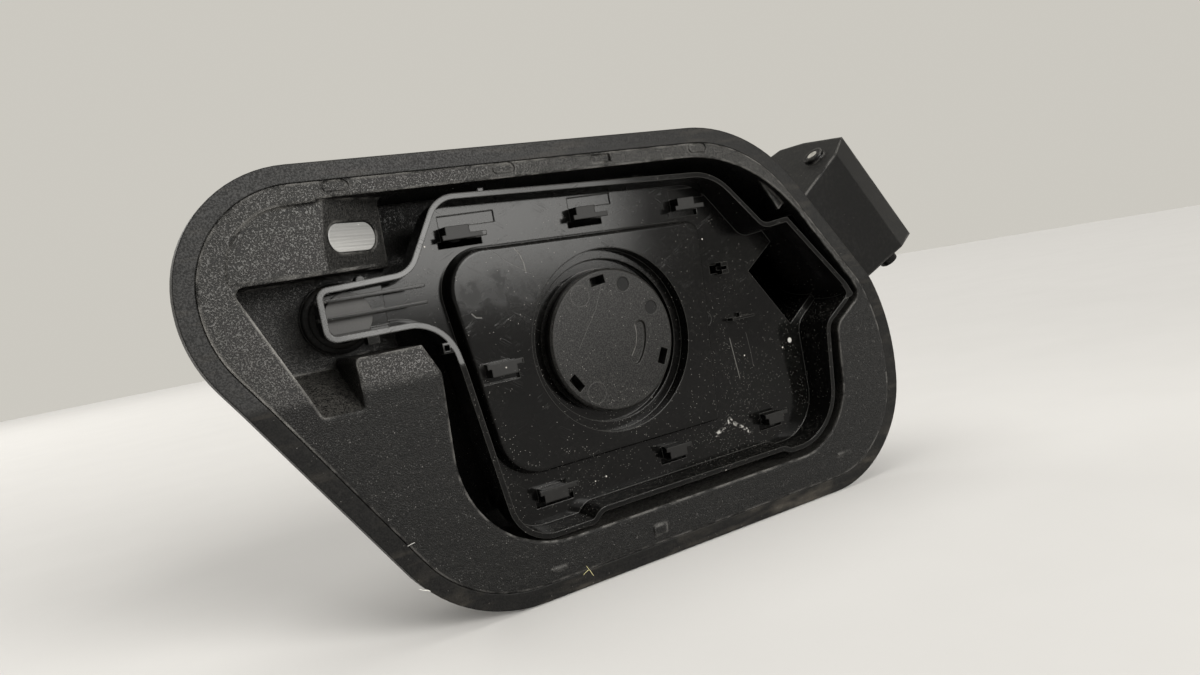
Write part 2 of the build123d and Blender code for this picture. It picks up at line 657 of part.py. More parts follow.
def make_hooks():
    """Solids added to the carrier for its hooks, and the cuts that go with them."""
    added = [hook(*place, TRAY_FLOOR, -1) for place in UPPER_HOOKS]
    added += [hook(*place, TRAY_FLOOR, 1) for place in LOWER_HOOKS] + [hook(*PANEL_HOOK, 0, 1)]
    front, back = TRAY_FLOOR - ROOT, FLOOR_BACK + ROOT
    cuts = [hook_window(*place, front, back) for place in UPPER_HOOKS + LOWER_HOOKS]
    cuts.append(hook_window(*PANEL_HOOK, -ROOT, PANEL_WINDOW))
    cuts += [hook_recess(*place) for place in UPPER_HOOKS]

    x, z = STUB_PLACE
    width, height, rise = STUB_SIZE
    stub = pad(x, z, width, height, TRAY_FLOOR - rise, TRAY_FLOOR + ROOT)
    added.append(stub - pad(x - STUB_SLOT / 2, z, width, STUB_SLOT, -FAR, TRAY_FLOOR))
    cuts.append(pad(x - width, z, width, height - STUB_SLOT, TRAY_FLOOR - ROOT, FLOOR_BACK + ROOT))

    x, z = BLADE_PLACE
    length, thick, rise = BLADE_SIZE
    added.append(pad(x, z, length, thick, TRAY_FLOOR - rise, TRAY_FLOOR + ROOT))
    gusset = pad(x, z + BLADE_GUSSET / 2, thick, BLADE_GUSSET, TRAY_FLOOR - rise / 2, TRAY_FLOOR + ROOT)
    added.append(gusset)
    return added, cuts


def make_rim_fittings():
    """Small tabs on the outside of the rim and the tongue."""
    x, z = RIM_LEFT_X + ROOT, TONGUE_BOTTOM - RIM_LOOP_DROP
    loop_front = fold_depth(z) + RIM_SET_BACK
    loop = pad(x, z, RIM_LOOP, RIM_LOOP, loop_front, loop_front + RIM_LOOP_BACK)
    eye = RIM_LOOP - 2 * RIM_LOOP_WALL
    loop -= pad(x - RIM_LOOP_WALL / 2, z, eye, eye, loop_front - ROOT, loop_front + RIM_LOOP_BACK + ROOT)
    nub_front = fold_depth(RIM_TOP) + RIM_SET_BACK + RIM_NUB
    tab_front = fold_depth(TONGUE_BOTTOM) + RIM_SET_BACK + ROOT
    boss_front = fold_depth(TONGUE_TOP) + RIM_SET_BACK
    nub_z = RIM_TOP - RIM_NUB / 2
    low_boss = barrel(TONGUE_TAB_X, TONGUE_BOTTOM, TONGUE_BOSS_R, tab_front, tab_front + TONGUE_TAB)
    high = TONGUE_TOP - TONGUE_FALL
    high_boss = barrel(TONGUE_TAB_X, high, TONGUE_BOSS_R, boss_front, boss_front + TONGUE_TAB)
    low = TONGUE_BOTTOM - ROOT
    tab = pad(TONGUE_TAB_X, low, TONGUE_TAB, TONGUE_TAB, tab_front, tab_front + TONGUE_TAB)
    nub = pad(RIM_NUB_X, nub_z, RIM_NUB, RIM_NUB, nub_front, nub_front + RIM_NUB)
    return [loop, low_boss, high_boss, tab, nub]


def add_arm(body):
    """Gooseneck arm: hollow, round the pin's axis where it passes the flange, with a barrel on the pin."""
    swing = Circle(GOOSE_R)
    sleeve = Circle(GOOSE_R + RIM_WALL)
    lip = HINGE_DEPTH - TRAY_FLOOR
    inner = -GOOSE_R / 2
    body -= along_hinge(swing, -FAR, FAR)
    rail = section((HEEL_SHOULDER_OUT, FAR), (inner, FAR), (inner, -TRAY_T), (HEEL_SHOULDER_OUT, -TRAY_T))
    body += along_hinge((sleeve - swing) & rail, HEEL_TOP, HEEL_END)
    shell = section((ARM_LEFT, lip), (inner, lip), (ARM_FOOT_RIGHT, ARM_BOTTOM),
                    (ARM_FOOT_LEFT, ARM_BOTTOM))
    body += along_hinge(shell - swing, ARM_TOP, ARM_END)
    floor = ARM_BOTTOM + ARM_WALL
    room = section((ARM_LEFT + ARM_WALL, FAR), (inner, FAR), (inner, lip),
                   (ARM_FOOT_RIGHT - ARM_WALL, floor), (ARM_FOOT_LEFT + ARM_WALL / 2, floor),
                   (ARM_LEFT + ARM_WALL, lip - ARM_WALL))
    body -= along_hinge(room - sleeve, ARM_TOP + ARM_WALL, ARM_END - ARM_WALL)

    foot = ARM_FOOT_RIGHT - CHEEK_W / 2
    for width, start, end in ((CHEEK_W, ARM_TOP, ARM_TOP + CHEEK_T), (CHEEK_W, ARM_END - CHEEK_T, ARM_END),
                              (WEB_T, ARM_TOP, ARM_END)):
        cheek = section((foot - width / 2, ARM_BOTTOM), (foot + width / 2, ARM_BOTTOM),
                        (width / 2, 0), (-width / 2, 0))
        body += along_hinge(cheek, start, end)
    body += along_hinge(Circle(BARREL_R), ARM_TOP, ARM_END)
    return body - along_hinge(Circle(PIN_R + BUSH_WALL), ARM_TOP - ROOT, ARM_END + ROOT)


def make_carrier():
    front = -CREASE_PROUD - ROOT
    body = drafted(RIM, front, FLOOR_BACK, DRAFT_DEG)
    hollow = drafted(offset(RIM, -RIM_WALL), front, TRAY_FLOOR, DRAFT_DEG)
    body -= hollow & block(TONGUE_STEP_X, FAR, -FAR, FAR, -FAR, FAR)
    body -= hollow & block(-FAR, TONGUE_STEP_X + ROOT, -FAR, TONGUE_FLOOR, -FAR, FAR)
    body -= block(-FAR, TONGUE_STEP_X - TRAY_T, TONGUE_FLOOR + TRAY_T, FAR, -FAR, FAR)

    panel = drafted(PANEL, 0, FLOOR_BACK, -PANEL_DRAFT)
    body += fillet(panel.faces().sort_by(Axis.Y)[0].edges(), PANEL_ROUND)
    body -= drafted(offset(PANEL, -TRAY_T), TRAY_T, FLOOR_BACK + ROOT, -PANEL_DRAFT)
    body += barrel(0, 0, WELL_R + TRAY_T, TRAY_T / 2, WELL_DEPTH + TRAY_T)
    body -= barrel(0, 0, WELL_R, -FAR, WELL_LEDGE_DEPTH)
    body -= barrel(0, 0, WELL_LEDGE_R, -FAR, WELL_DEPTH)
    body -= barrel(0, 0, SKIRT_R + CLEAR, -FAR, FAR)

    added, cuts = make_hooks()
    body = body + added - cuts + make_rim_fittings()
    rib_front = TONGUE_FLOOR - TONGUE_RIB_H
    for rise in TONGUE_RIB_RISES:
        low = LATCH_Z + rise
        high = low + TONGUE_RIB_T
        body += block(TONGUE_LEFT + ROOT, TONGUE_RIB_END_X, rib_front, TONGUE_FLOOR + ROOT, low, high)
    body = add_arm(body)

    seat_room = SEAT_FRONT - CLEAR
    body -= barrel(LATCH_X, LATCH_Z, SOCKET_R + SOCKET_WALL + CLEAR, seat_room, FAR)
    body -= barrel(LATCH_X, LATCH_Z, SEAT_R + CLEAR, seat_room, TONGUE_FLOOR)
    return body - folded(-FAR, RIM_SET_BACK)


def make_round_insert():
    face = barrel(0, 0, DISC_R, 0, DISC_T)
    body = chamfer(face.faces().sort_by(Axis.Y)[0].edges(), DISC_EDGE)
    body += ring(0, 0, SKIRT_R, SKIRT_R - SKIRT_WALL, DISC_T - ROOT, WELL_DEPTH + TRAY_T + INSERT_SEAL_T)
    for angle in CLIP_ANGLES:
        middle = SKIRT_R - SKIRT_WALL - CLIP_WINDOW_W / 4
        window = Rot(0, 0, angle) * Pos(middle, 0) * Rectangle(CLIP_WINDOW_W, CLIP_WINDOW_L)
        body += prism(offset(window, CLIP_WINDOW_WALL), DISC_T - ROOT, WELL_DEPTH)
        body -= prism(window, -ROOT, WELL_DEPTH - CLIP_WINDOW_WALL)
    bean = SlotArc(CenterArc(BEAN_CENTRE, BEAN_R, BEAN_START, BEAN_SWEEP), BEAN_WIDTH)
    body -= drafted(bean, -ROOT, BEAN_DEPTH, BEAN_DRAFT)
    for x, z in DISC_MARKS:
        body -= barrel(x, z, DISC_MARK_R, -ROOT, DISC_MARK_DEPTH)
    return body


def make_insert_seal():
    front = WELL_DEPTH + TRAY_T
    return ring(0, 0, SKIRT_R + INSERT_SEAL_W, SKIRT_R, front, front + INSERT_SEAL_T)


def make_latch_seat():
    body = barrel(LATCH_X, LATCH_Z, SEAT_R, SEAT_FRONT, TONGUE_FLOOR)
    body += barrel(LATCH_X, LATCH_Z, SOCKET_R + SOCKET_WALL, SEAT_FRONT, TONGUE_FLOOR + SOCKET_LENGTH)
    return body - barrel(LATCH_X, LATCH_Z, SOCKET_R, TONGUE_FLOOR + SEAT_T, FAR)


def make_pin():
    return along_hinge(Circle(PIN_R), PIN_TOP, PIN_END)


def make_pin_clip():
    return along_hinge(Circle(PIN_CLIP_R) - Circle(PIN_R), BOX_END, BOX_END + PIN_CLIP_T)


def make_bushes():
    tube = Circle(PIN_R + BUSH_WALL) - Circle(PIN_R + RUNNING)
    return [along_hinge(tube, ARM_TOP, ARM_TOP + BUSH_LENGTH),
            along_hinge(tube, ARM_END - BUSH_LENGTH, ARM_END)]


def make_hinge_spring():
    start = ARM_END + SPRING_WIRE_R + CLEAR
    height = BOX_LOW_END - SPRING_WIRE_R - CLEAR - start
    return HINGE.offset(start) * coil(SPRING_R, SPRING_WIRE_R, height, SPRING_TURNS)


def make_latch_body():
    x, z = LATCH_X, LATCH_Z
    front = LATCH_BAY_DEPTH - LATCH_FLANGE_T
    body = barrel(x, z, LATCH_FLANGE_R, front, LATCH_BAY_DEPTH)
    body += barrel(x, z, LATCH_TUBE_R, front, LATCH_REAR - WALL)
    body -= barrel(x, z, LATCH_CHAMBER_R, 0, LATCH_PARTITION - WALL)
    body -= barrel(x, z, PLUNGER_R + CLEAR, 0, LATCH_REAR)
    return body - barrel(x, z, LATCH_CHAMBER_R, LATCH_PARTITION, LATCH_REAR)


def make_latch_cover():
    x, z = LATCH_X, LATCH_Z
    spigot = LATCH_CHAMBER_R - CLEAR / 2
    body = barrel(x, z, LATCH_TUBE_R, LATCH_REAR - WALL, LATCH_REAR)
    return body + ring(x, z, spigot, spigot - COVER_SPIGOT, LATCH_REAR - 2 * WALL, LATCH_REAR - ROOT)


def make_latch_lock_ring():
    front = LATCH_BAY_DEPTH + WALL
    body = ring(LATCH_X, LATCH_Z, LOCK_RING_R, LATCH_TUBE_R + CLEAR, front, front + LOCK_RING_T)
    for turn in range(LOCK_RING_GRIPS):
        grip = Rot(0, 0, turn * 360 / LOCK_RING_GRIPS) * Pos(LOCK_RING_R, 0) * Circle(LOCK_RING_GRIP_R)
        body -= prism(Pos(LATCH_X, LATCH_Z) * grip, front - ROOT, front + LOCK_RING_T + ROOT)
    return body


def make_latch_boot():
    back = LATCH_BAY_DEPTH - LATCH_FLANGE_T
    step = (back - BOOT_FRONT - BOOT_WALL) / (2 * BOOT_FOLDS)
    hole = PLUNGER_HEAD_R + CLEAR
    outer = [(hole, BOOT_FRONT), (BOOT_TIP_R - BOOT_WALL, BOOT_FRONT)]
    inner = [(hole, BOOT_FRONT + BOOT_WALL), (BOOT_TIP_R - 2 * BOOT_WALL, BOOT_FRONT + BOOT_WALL)]
    for fold in range(BOOT_FOLDS):
        crest = BOOT_TIP_R + (BOOT_R - BOOT_TIP_R) * fold / (BOOT_FOLDS - 1)
        for half, dip in ((1, 0), (2, BOOT_WAVE)):
            depth = BOOT_FRONT + BOOT_WALL + (2 * fold + half) * step
            outer.append((crest - dip, depth))
            inner.append((crest - dip - BOOT_WALL, depth))
    wall = section(*[(radius, y_of(depth)) for radius, depth in outer + inner[::-1]])
    return Pos(LATCH_X, 0, LATCH_Z) * revolve(wall, Axis.Y)


def make_plunger():
    x, z = LATCH_X, LATCH_Z
    tip = TONGUE_FLOOR + SEAT_T + CLEAR
    end = LATCH_REAR - WALL - PLUNGER_STROKE - 2 * CLEAR
    head = barrel(x, z, PLUNGER_HEAD_R, tip, tip + PLUNGER_HEAD_L)
    body = fillet(head.faces().sort_by(Axis.Y)[0].edges(), PLUNGER_EDGE)
    body += barrel(x, z, PLUNGER_R, tip + PLUNGER_HEAD_L / 2, end)
    return body + barrel(x, z, COLLAR_R, COLLAR_DEPTH, COLLAR_DEPTH + COLLAR_T)


def make_latch_spring():
    start = COLLAR_DEPTH + COLLAR_T + LATCH_WIRE_R
    height = LATCH_PARTITION - WALL - LATCH_WIRE_R - start
    wound = coil(LATCH_SPRING_R, LATCH_WIRE_R, height, LATCH_SPRING_TURNS)
    return Plane(origin=(LATCH_X, y_of(start), LATCH_Z), z_dir=(0, 1, 0)) * wound


def make_turn_sleeve():
    front = LATCH_PARTITION + CLEAR
    back = front + SLEEVE_LENGTH
    body = ring(LATCH_X, LATCH_Z, SLEEVE_R, PLUNGER_R + CLEAR, front, back)
    for turn in range(SLEEVE_TEETH):
        tooth = Pos(SLEEVE_R, 0) * Rectangle(SLEEVE_TOOTH, SLEEVE_TOOTH)
        place = Pos(LATCH_X, LATCH_Z) * Rot(0, 0, turn * 360 / SLEEVE_TEETH)
        body -= prism(place * tooth, (front + back) / 2, back + ROOT)
    return body


def make_lens():
    return on_ramp(SlotOverall(LENS_LENGTH, LENS_HEIGHT), LENS_SINK, LENS_SINK + LENS_T)


LAMP_FRONT = WALL + CLEAR
LAMP_BACK = LAMP_FRONT + LAMP_DEPTH


def make_lamp_housing():
    body = on_ramp(RectangleRounded(LAMP_LENGTH, LAMP_HEIGHT, LAMP_CORNER), LAMP_FRONT, LAMP_BACK)
    inside = RectangleRounded(LAMP_LENGTH - 2 * LAMP_WALL, LAMP_HEIGHT - 2 * LAMP_WALL, LAMP_CORNER / 2)
    return body - on_ramp(inside, LAMP_FRONT - ROOT, LAMP_BACK - LAMP_WALL)


def make_board():
    start = LAMP_BACK - LAMP_WALL - BOARD_T
    margin = 2 * (LAMP_WALL + CLEAR)
    body = on_ramp(Rectangle(LAMP_LENGTH - margin, LAMP_HEIGHT - margin), start, start + BOARD_T)
    for place in (-LED_PITCH, 0, LED_PITCH):
        body += on_ramp(Pos(place, 0) * Rectangle(*LED_SIZE), start - LED_H, start + ROOT)
    return body


def make_lamp_socket():
    length, height = SOCKET_SIZE
    body = on_ramp(RectangleRounded(length, height, SOCKET_SHELL), LAMP_BACK, LAMP_BACK + SOCKET_DEPTH)
    inside = Rectangle(length - 2 * SOCKET_SHELL, height - 2 * SOCKET_SHELL)
    return body - on_ramp(inside, LAMP_BACK + SOCKET_SHELL, LAMP_BACK + SOCKET_DEPTH + ROOT)


def make_gasket():
    back = POCKET_REAR - WALL
    return ring(0, 0, INLET_R + GASKET_W, INLET_R + GASKET_SET, back - GASKET_T, back)


def make_grommet():
    low = WINDOW_BOTTOM - DRAIN_LENGTH + GROMMET_H / 2
    tube = Cylinder(GROMMET_R, GROMMET_H) - Cylinder(DRAIN_R + DRAIN_WALL + RUNNING, GROMMET_H)
    return Pos(DRAIN_X, y_of(DRAIN_DEPTH), low) * tube


def make_stops():
    back = FLOOR_BACK + STOP_H
    return [barrel(x, z, STOP_R, FLOOR_BACK + CLEAR, back + STOP_SLEEVE)
            - barrel(x, z, STOP_POST_R, back, back + 2 * STOP_SLEEVE) for x, z in STOP_PLACES]


def make_clips():
    clips = []
    for x, z in CLIP_PLACES:
        end = fold_depth(z) + FLANGE_T + BLADE_LENGTH
        clip = pad(x, z, CLIP_WIDTH, 2 * CLIP_HALF, end - CLIP_LENGTH, end + CLIP_T)
        clips.append(clip - pad(x, z, 2 * CLIP_WIDTH, BLADE_T + 2 * RUNNING, -FAR, end))
    return clips


PIECES = {
    "housing": make_housing, "rim_seal": make_rim_seal, "flap_carrier": make_carrier,
    "round_insert": make_round_insert, "insert_seal": make_insert_seal, "latch_seat": make_latch_seat,
    "hinge_pin": make_pin, "pin_clip": make_pin_clip, "hinge_bushes": make_bushes,
    "hinge_spring": make_hinge_spring, "latch_body": make_latch_body, "latch_cover": make_latch_cover,
    "latch_lock_ring": make_latch_lock_ring, "latch_boot": make_latch_boot, "latch_plunger": make_plunger,
    "latch_spring": make_latch_spring, "turn_sleeve": make_turn_sleeve, "status_lens": make_lens,
    "lamp_housing": make_lamp_housing, "led_board": make_board, "lamp_socket": make_lamp_socket,
    "inlet_gasket": make_gasket, "drain_grommet": make_grommet, "bump_stops": make_stops,
    "body_clips": make_clips}

os.makedirs("parts", exist_ok=True)
for name, make in PIECES.items():
    made = make()
    pieces = made if isinstance(made, list) else [made]
    solids = [solid for piece in pieces for solid in piece.solids()]
    export_step(Compound(children=solids), f"parts/{name}.step")
    print(name, len(solids))
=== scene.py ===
# %% [markdown]
# A car's fuel door, closed, with its painted skin taken off. The black flange and its pocket stay on the
# car, and the carrier in the middle swings on a slanted pin. The solids are fixed, so this lesson is
# about finishes: grained, smooth and rubbery blacks that differ only in how they take the light.

import math

import bmesh
import bpy
from mathutils import Matrix, Vector


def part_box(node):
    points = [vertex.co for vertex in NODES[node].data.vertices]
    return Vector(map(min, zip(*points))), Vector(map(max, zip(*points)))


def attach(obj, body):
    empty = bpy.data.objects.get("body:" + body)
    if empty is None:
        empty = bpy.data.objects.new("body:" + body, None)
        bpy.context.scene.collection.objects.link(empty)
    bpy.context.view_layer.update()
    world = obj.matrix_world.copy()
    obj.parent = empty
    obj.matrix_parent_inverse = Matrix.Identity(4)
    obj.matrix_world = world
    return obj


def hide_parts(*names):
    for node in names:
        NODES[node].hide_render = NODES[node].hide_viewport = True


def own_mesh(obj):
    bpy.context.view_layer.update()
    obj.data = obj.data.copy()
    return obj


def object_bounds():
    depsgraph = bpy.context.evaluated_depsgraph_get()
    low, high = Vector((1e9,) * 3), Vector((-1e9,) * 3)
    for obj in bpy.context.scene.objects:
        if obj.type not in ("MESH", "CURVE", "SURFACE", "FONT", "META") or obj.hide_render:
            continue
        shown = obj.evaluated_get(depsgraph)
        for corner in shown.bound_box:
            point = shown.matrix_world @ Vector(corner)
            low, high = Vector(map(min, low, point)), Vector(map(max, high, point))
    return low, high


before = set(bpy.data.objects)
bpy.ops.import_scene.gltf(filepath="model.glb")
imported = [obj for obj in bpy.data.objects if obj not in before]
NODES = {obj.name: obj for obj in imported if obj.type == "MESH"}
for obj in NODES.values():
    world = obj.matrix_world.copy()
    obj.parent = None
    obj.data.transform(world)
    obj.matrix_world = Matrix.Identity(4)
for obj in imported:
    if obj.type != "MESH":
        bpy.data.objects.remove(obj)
CAD_BOX = [list(corner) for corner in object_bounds()]
MM = 0.001
print("nodes", len(NODES), "box", [[round(v, 4) for v in corner] for corner in CAD_BOX])

# %% [markdown]
# The camera stands low and to the left, close to the part, and is rolled a little. Its place comes from
# the round insert's ellipse and the long edges of the flange, so it is set as three directions. Angles
# would do too, but a roll is easy to get wrong in them.

# %% Camera
EYE = Vector((-203.9, -368.1, 27.8)) * MM
AHEAD = Vector((0.512, 0.856, -0.067)).normalized()
ROUGHLY_UP = Vector((0.187, -0.035, 0.982))
FOCAL_PIXELS, IMAGE_WIDTH, SENSOR = 930.0, 1200.0, 36.0

right = AHEAD.cross(ROUGHLY_UP).normalized()
above = right.cross(AHEAD)
camera = bpy.data.objects.new("camera", bpy.data.cameras.new("camera"))
camera.matrix_world = Matrix.Translation(EYE) @ Matrix((right, above, -AHEAD)).transposed().to_4x4()
camera.data.sensor_width = SENSOR
camera.data.lens = SENSOR * FOCAL_PIXELS / IMAGE_WIDTH
camera.data.clip_start = 0.01
bpy.context.scene.collection.objects.link(camera)
bpy.context.scene.camera = camera
print("lens", round(camera.data.lens, 2), "mm")

# %% [markdown]
# Shader maths reads best as Python, so one small class wraps a socket and turns each operator into a Math
# node. Any other node comes from its node method: the kind, its settings, then what its sockets take.


# %% Wires between shader nodes
class Wire:
    """A socket of a shader tree that Python's operators work on."""

    def __init__(self, tree, socket=None):
        self.tree, self.socket = tree, socket

    def node(self, kind, settings=None, inputs=None, output=0):
        made = self.tree.nodes.new("ShaderNode" + kind)
        for name, value in (settings or {}).items():
            setattr(made, name, value)
        wire = Wire(self.tree, made.outputs[output] if len(made.outputs) else None)
        return wire.feed(made, inputs or {})

    def feed(self, made, inputs):
        for name, value in inputs.items():
            if isinstance(value, Wire):
                self.tree.links.new(value.socket, made.inputs[name])
            else:
                made.inputs[name].default_value = value
        return self

    def out(self, name):
        return Wire(self.tree, self.socket.node.outputs[name])

    def math(self, operation, first, second):
        return self.node("Math", {"operation": operation}, {0: first, 1: second})

    def __add__(self, other):
        return self.math("ADD", self, other)

    def __sub__(self, other):
        return self.math("SUBTRACT", self, other)

    def __rsub__(self, other):
        return self.math("SUBTRACT", other, self)

    def __mul__(self, other):
        return self.math("MULTIPLY", self, other)

    def __lt__(self, other):
        return self.math("LESS_THAN", self, other)

    def __or__(self, other):
        return self.math("MAXIMUM", self, other)

    __radd__, __rmul__ = __add__, __mul__

    def size(self):
        return self.node("Math", {"operation": "ABSOLUTE"}, {0: self})

    def ramp(self, low, high):
        """0 up to low, 1 from high on, and a soft rise between them; low may be the larger one."""
        limits = {"Value": self, "From Min": low, "From Max": high}
        return self.node("MapRange", {"interpolation_type": "SMOOTHSTEP"}, limits)

    def colour(self, none, full):
        """Mix two colours by this value."""
        ends = {0: self}
        for place, end in ((6, none), (7, full)):
            ends[place] = end if isinstance(end, Wire) else (*end, 1.0)
        return self.node("Mix", {"data_type": "RGBA"}, ends, output=2)


print("wires ready")

# %% [markdown]
# Every finish starts the same way: a Principled shader whose plain numbers sit on its own sockets, and the
# point's place in millimetres, which the patterns are drawn in. The parts rest at the origin, so object
# coordinates are the drawing's own. A Bevel node rounds the sharp edges of the solids for the light alone,
# and where its normal leaves the flat one, an edge can wear and take a painted highlight. How far a face
# looks up says where dust lies, and on the grained housing where painted light from above falls.


# %% Start a finish
class Finish:
    """A material under way: its shader, its place in millimetres, its softened normal, its edges and lift."""

    def __init__(self, name, edge=0.5, **constants):
        self.material = bpy.data.materials.new(name)
        self.material.use_nodes = True
        tree = self.material.node_tree
        tree.nodes.clear()
        start = Wire(tree)
        sockets = {key.replace("_", " ").title().replace("Ior", "IOR"): value
                   for key, value in constants.items()}
        self.shader = start.node("BsdfPrincipled", None, sockets)
        start.node("OutputMaterial", None, {"Surface": self.shader})
        metres = start.node("TexCoord", output="Object")
        self.at = start.node("VectorMath", {"operation": "SCALE"}, {0: metres, "Scale": 1 / MM})
        split = start.node("SeparateXYZ", None, {0: self.at})
        self.x, self.y, self.z = split, split.out(1), split.out(2)
        self.soft = start.node("Bevel", {"samples": 6}, {"Radius": edge * MM})
        flat = start.node("NewGeometry", output="Normal")
        both = {0: self.soft, 1: flat}
        facing = start.node("VectorMath", {"operation": "DOT_PRODUCT"}, both, output="Value")
        self.edges = facing.ramp(0.995, 0.86)
        self.lift = start.node("SeparateXYZ", None, {0: flat}, output=2)

    def paint(self, colour, roughness, height, depth):
        """Join the maps to the shader; depth is how deep the height map bites, in millimetres."""
        bumps = {"Height": height, "Distance": depth * MM, "Strength": 1.0, "Normal": self.soft}
        normal = self.shader.node("Bump", None, bumps)
        maps = {"Base Color": colour, "Roughness": roughness, "Normal": normal}
        self.shader.feed(self.shader.socket.node, maps)
        return self.material


def noise(at, size, detail=2.0, stretch=None):
    """Soft noise whose blobs are about size millimetres; stretch scales the place first."""
    if stretch:
        at = at.node("VectorMath", {"operation": "MULTIPLY"}, {0: at, 1: stretch})
    return at.node("TexNoise", None, {"Vector": at, "Scale": 1 / size, "Detail": detail})


def specks(at, spacing, size, share):
    """Scattered round specks: one in each cell of a spacing, of which a share shows."""
    cells = at.node("TexVoronoi", None, {"Vector": at, "Scale": 1 / spacing})
    chance = at.node("SeparateColor", None, {0: cells.out("Color")})
    reach = (chance.out(1) * 0.7 + 0.3) * (size / spacing)
    return (reach - cells).ramp(0.0, 0.3 * size / spacing) * (chance < share)


def away(finish, x, z):
    """Distance from a point of the front view, which may slide along a line."""
    gap = finish.at.node("CombineXYZ", None, {0: finish.x - x, 1: finish.z - z})
    return finish.at.node("VectorMath", {"operation": "LENGTH"}, {0: gap}, output="Value")


def spot(finish, x, z, reach):
    """A soft round spot on the faces seen from the front."""
    return away(finish, x, z).ramp(reach, 0.0)


def circle(finish, x, z, radius):
    """The thin line of a round mark, such as an ejector pin leaves."""
    return (away(finish, x, z) - radius).size().ramp(0.35, 0.1)


def stroke(finish, line, width):
    """Scratches from point to point of the front view, tapering out at a stroke's two ends."""
    drawn = 0.0
    for (x, z), (x_end, z_end) in zip(line, line[1:]):
        run, rise = x_end - x, z_end - z
        square = run ** 2 + rise ** 2
        along = (finish.x - x) * (run / square) + (finish.z - z) * (rise / square)
        along = along.node("Clamp", None, {0: along})
        near = away(finish, along * run + x, along * rise + z)
        drawn = near.ramp(width, width * 0.3) | drawn
    return drawn


print("patterns ready")

# %% [markdown]
# Dust lies on everything: pale specks, thickest low down in the tray and on faces that look up, and a thin
# warm film. It could be scattered as tiny meshes, but at a tenth of a millimetre a pattern looks the same.
# Each black gets the same dust in its own amount, laid over the clean colour and made more matt.

# %% Dust
PALE_DUST = (0.42, 0.40, 0.37)
DUST_FILM_AND_TOP_LIGHT = (0.070, 0.067, 0.061)
THIN_Z, THICK_Z = 34.0, -60.0
DRIFT_SIZE, FINE_SPACING, FINE_SIZE, COARSE_SPACING, COARSE_SIZE = 26.0, 0.8, 0.16, 6.0, 0.55


def dusty(finish, clean, sheen, share, film):
    """Lay specks and a film over a clean colour and its roughness; both settle on faces that look up."""
    settled = finish.lift.ramp(0.45, 0.95)
    low = finish.z.ramp(THIN_Z, THICK_Z)
    drift = noise(finish.at, DRIFT_SIZE).ramp(0.32, 0.62)
    amount = (low * 0.85 + 0.15 + settled) * (drift * 0.8 + 0.2) * share
    fine = specks(finish.at, FINE_SPACING, FINE_SIZE, amount) * 0.5
    dots = fine | specks(finish.at, COARSE_SPACING, COARSE_SIZE, amount * 0.4)
    haze = noise(finish.at, 1.6, 5.0).ramp(0.40, 0.80) * (drift + 0.4 + settled * 6.0) * film
    colour = dots.colour(haze.colour(clean, DUST_FILM_AND_TOP_LIGHT), PALE_DUST)
    rough = sheen + haze * 0.25 + dots * 0.4
    return colour, rough, dots


print("dust ready")

# %% [markdown]
# The housing is black polypropylene with a fine spark-eroded grain. Real grain is a relief a few
# hundredths deep. It could be a bump alone, but each pit also hides the light, so the same noise darkens
# the colour and dulls the sheen. Pale specks on the tips are painted glints, and faces that lean up are
# painted paler, as light from above, in the dust film's colour. The edges are worn and carry a painted
# highlight, most along the fold at the left, and the hinge box comes from a part of the mould that has no
# grain.

# %% Grained plastic
BOX_CORNER, BOX_ACROSS, BOX_BLEND = (88.9, 83.8), (0.838, 0.546), (-2.0, -1.5)
FOLD_WEAR_AND_HIGHLIGHT_X, FOLD_WEAR_AND_HIGHLIGHT_Z = (-120.0, -140.0), (44.0, 30.0)
WEAR_AND_EDGE_HIGHLIGHT, TOP_LIGHT_LEAN = (0.34, 0.33, 0.31), (-0.15, 0.2)

grained = Finish("grained_plastic", edge=2.0, specular_ior_level=0.16)
pits = noise(grained.at, 0.55, 3.0).ramp(0.38, 0.62)
painted_glints = specks(grained.at, 0.8, 0.30, 0.6)
worn_and_highlit = grained.edges * noise(grained.at, 6.0, 4.0).ramp(0.40, 0.62)
polished_and_highlit = grained.edges * grained.x.ramp(*FOLD_WEAR_AND_HIGHLIGHT_X) * grained.z.ramp(*FOLD_WEAR_AND_HIGHLIGHT_Z)
beyond = (grained.x - BOX_CORNER[0]) * BOX_ACROSS[0] + (grained.z - BOX_CORNER[1]) * BOX_ACROSS[1]
box = beyond.ramp(*BOX_BLEND)
upright = grained.lift.size().ramp(0.4, 0.1)
clean = pits.colour((0.001, 0.001, 0.001), (0.007, 0.0069, 0.0066))
# painted glints: pale specks that stand in for light caught by the grain's tips
clean = (painted_glints * 0.9).colour(clean, (0.046, 0.045, 0.043))
# painted light from above: faces that lean up are made paler in the dust film's colour
clean = (grained.lift.ramp(*TOP_LIGHT_LEAN) * pits * 0.45).colour(clean, DUST_FILM_AND_TOP_LIGHT)
clean = box.colour(clean, (0.0015, 0.0015, 0.0015))
# wear and painted highlight: edges are paler, most along the fold at the left
clean = (worn_and_highlit * 0.3 + polished_and_highlit * 0.5).colour(clean, WEAR_AND_EDGE_HIGHLIGHT)
sheen = 0.50 - pits * (1 - box) * 0.24 - polished_and_highlit * 0.2 + box * (0.1 - upright * 0.32)
colour, rough, dots = dusty(grained, clean, sheen, 0.12, 0.05)
GRAINED = grained.paint(colour, rough, pits * (1 - box * 0.9) + dots * 0.4, 0.07)
print(GRAINED.name, len(GRAINED.node_tree.nodes), "nodes")
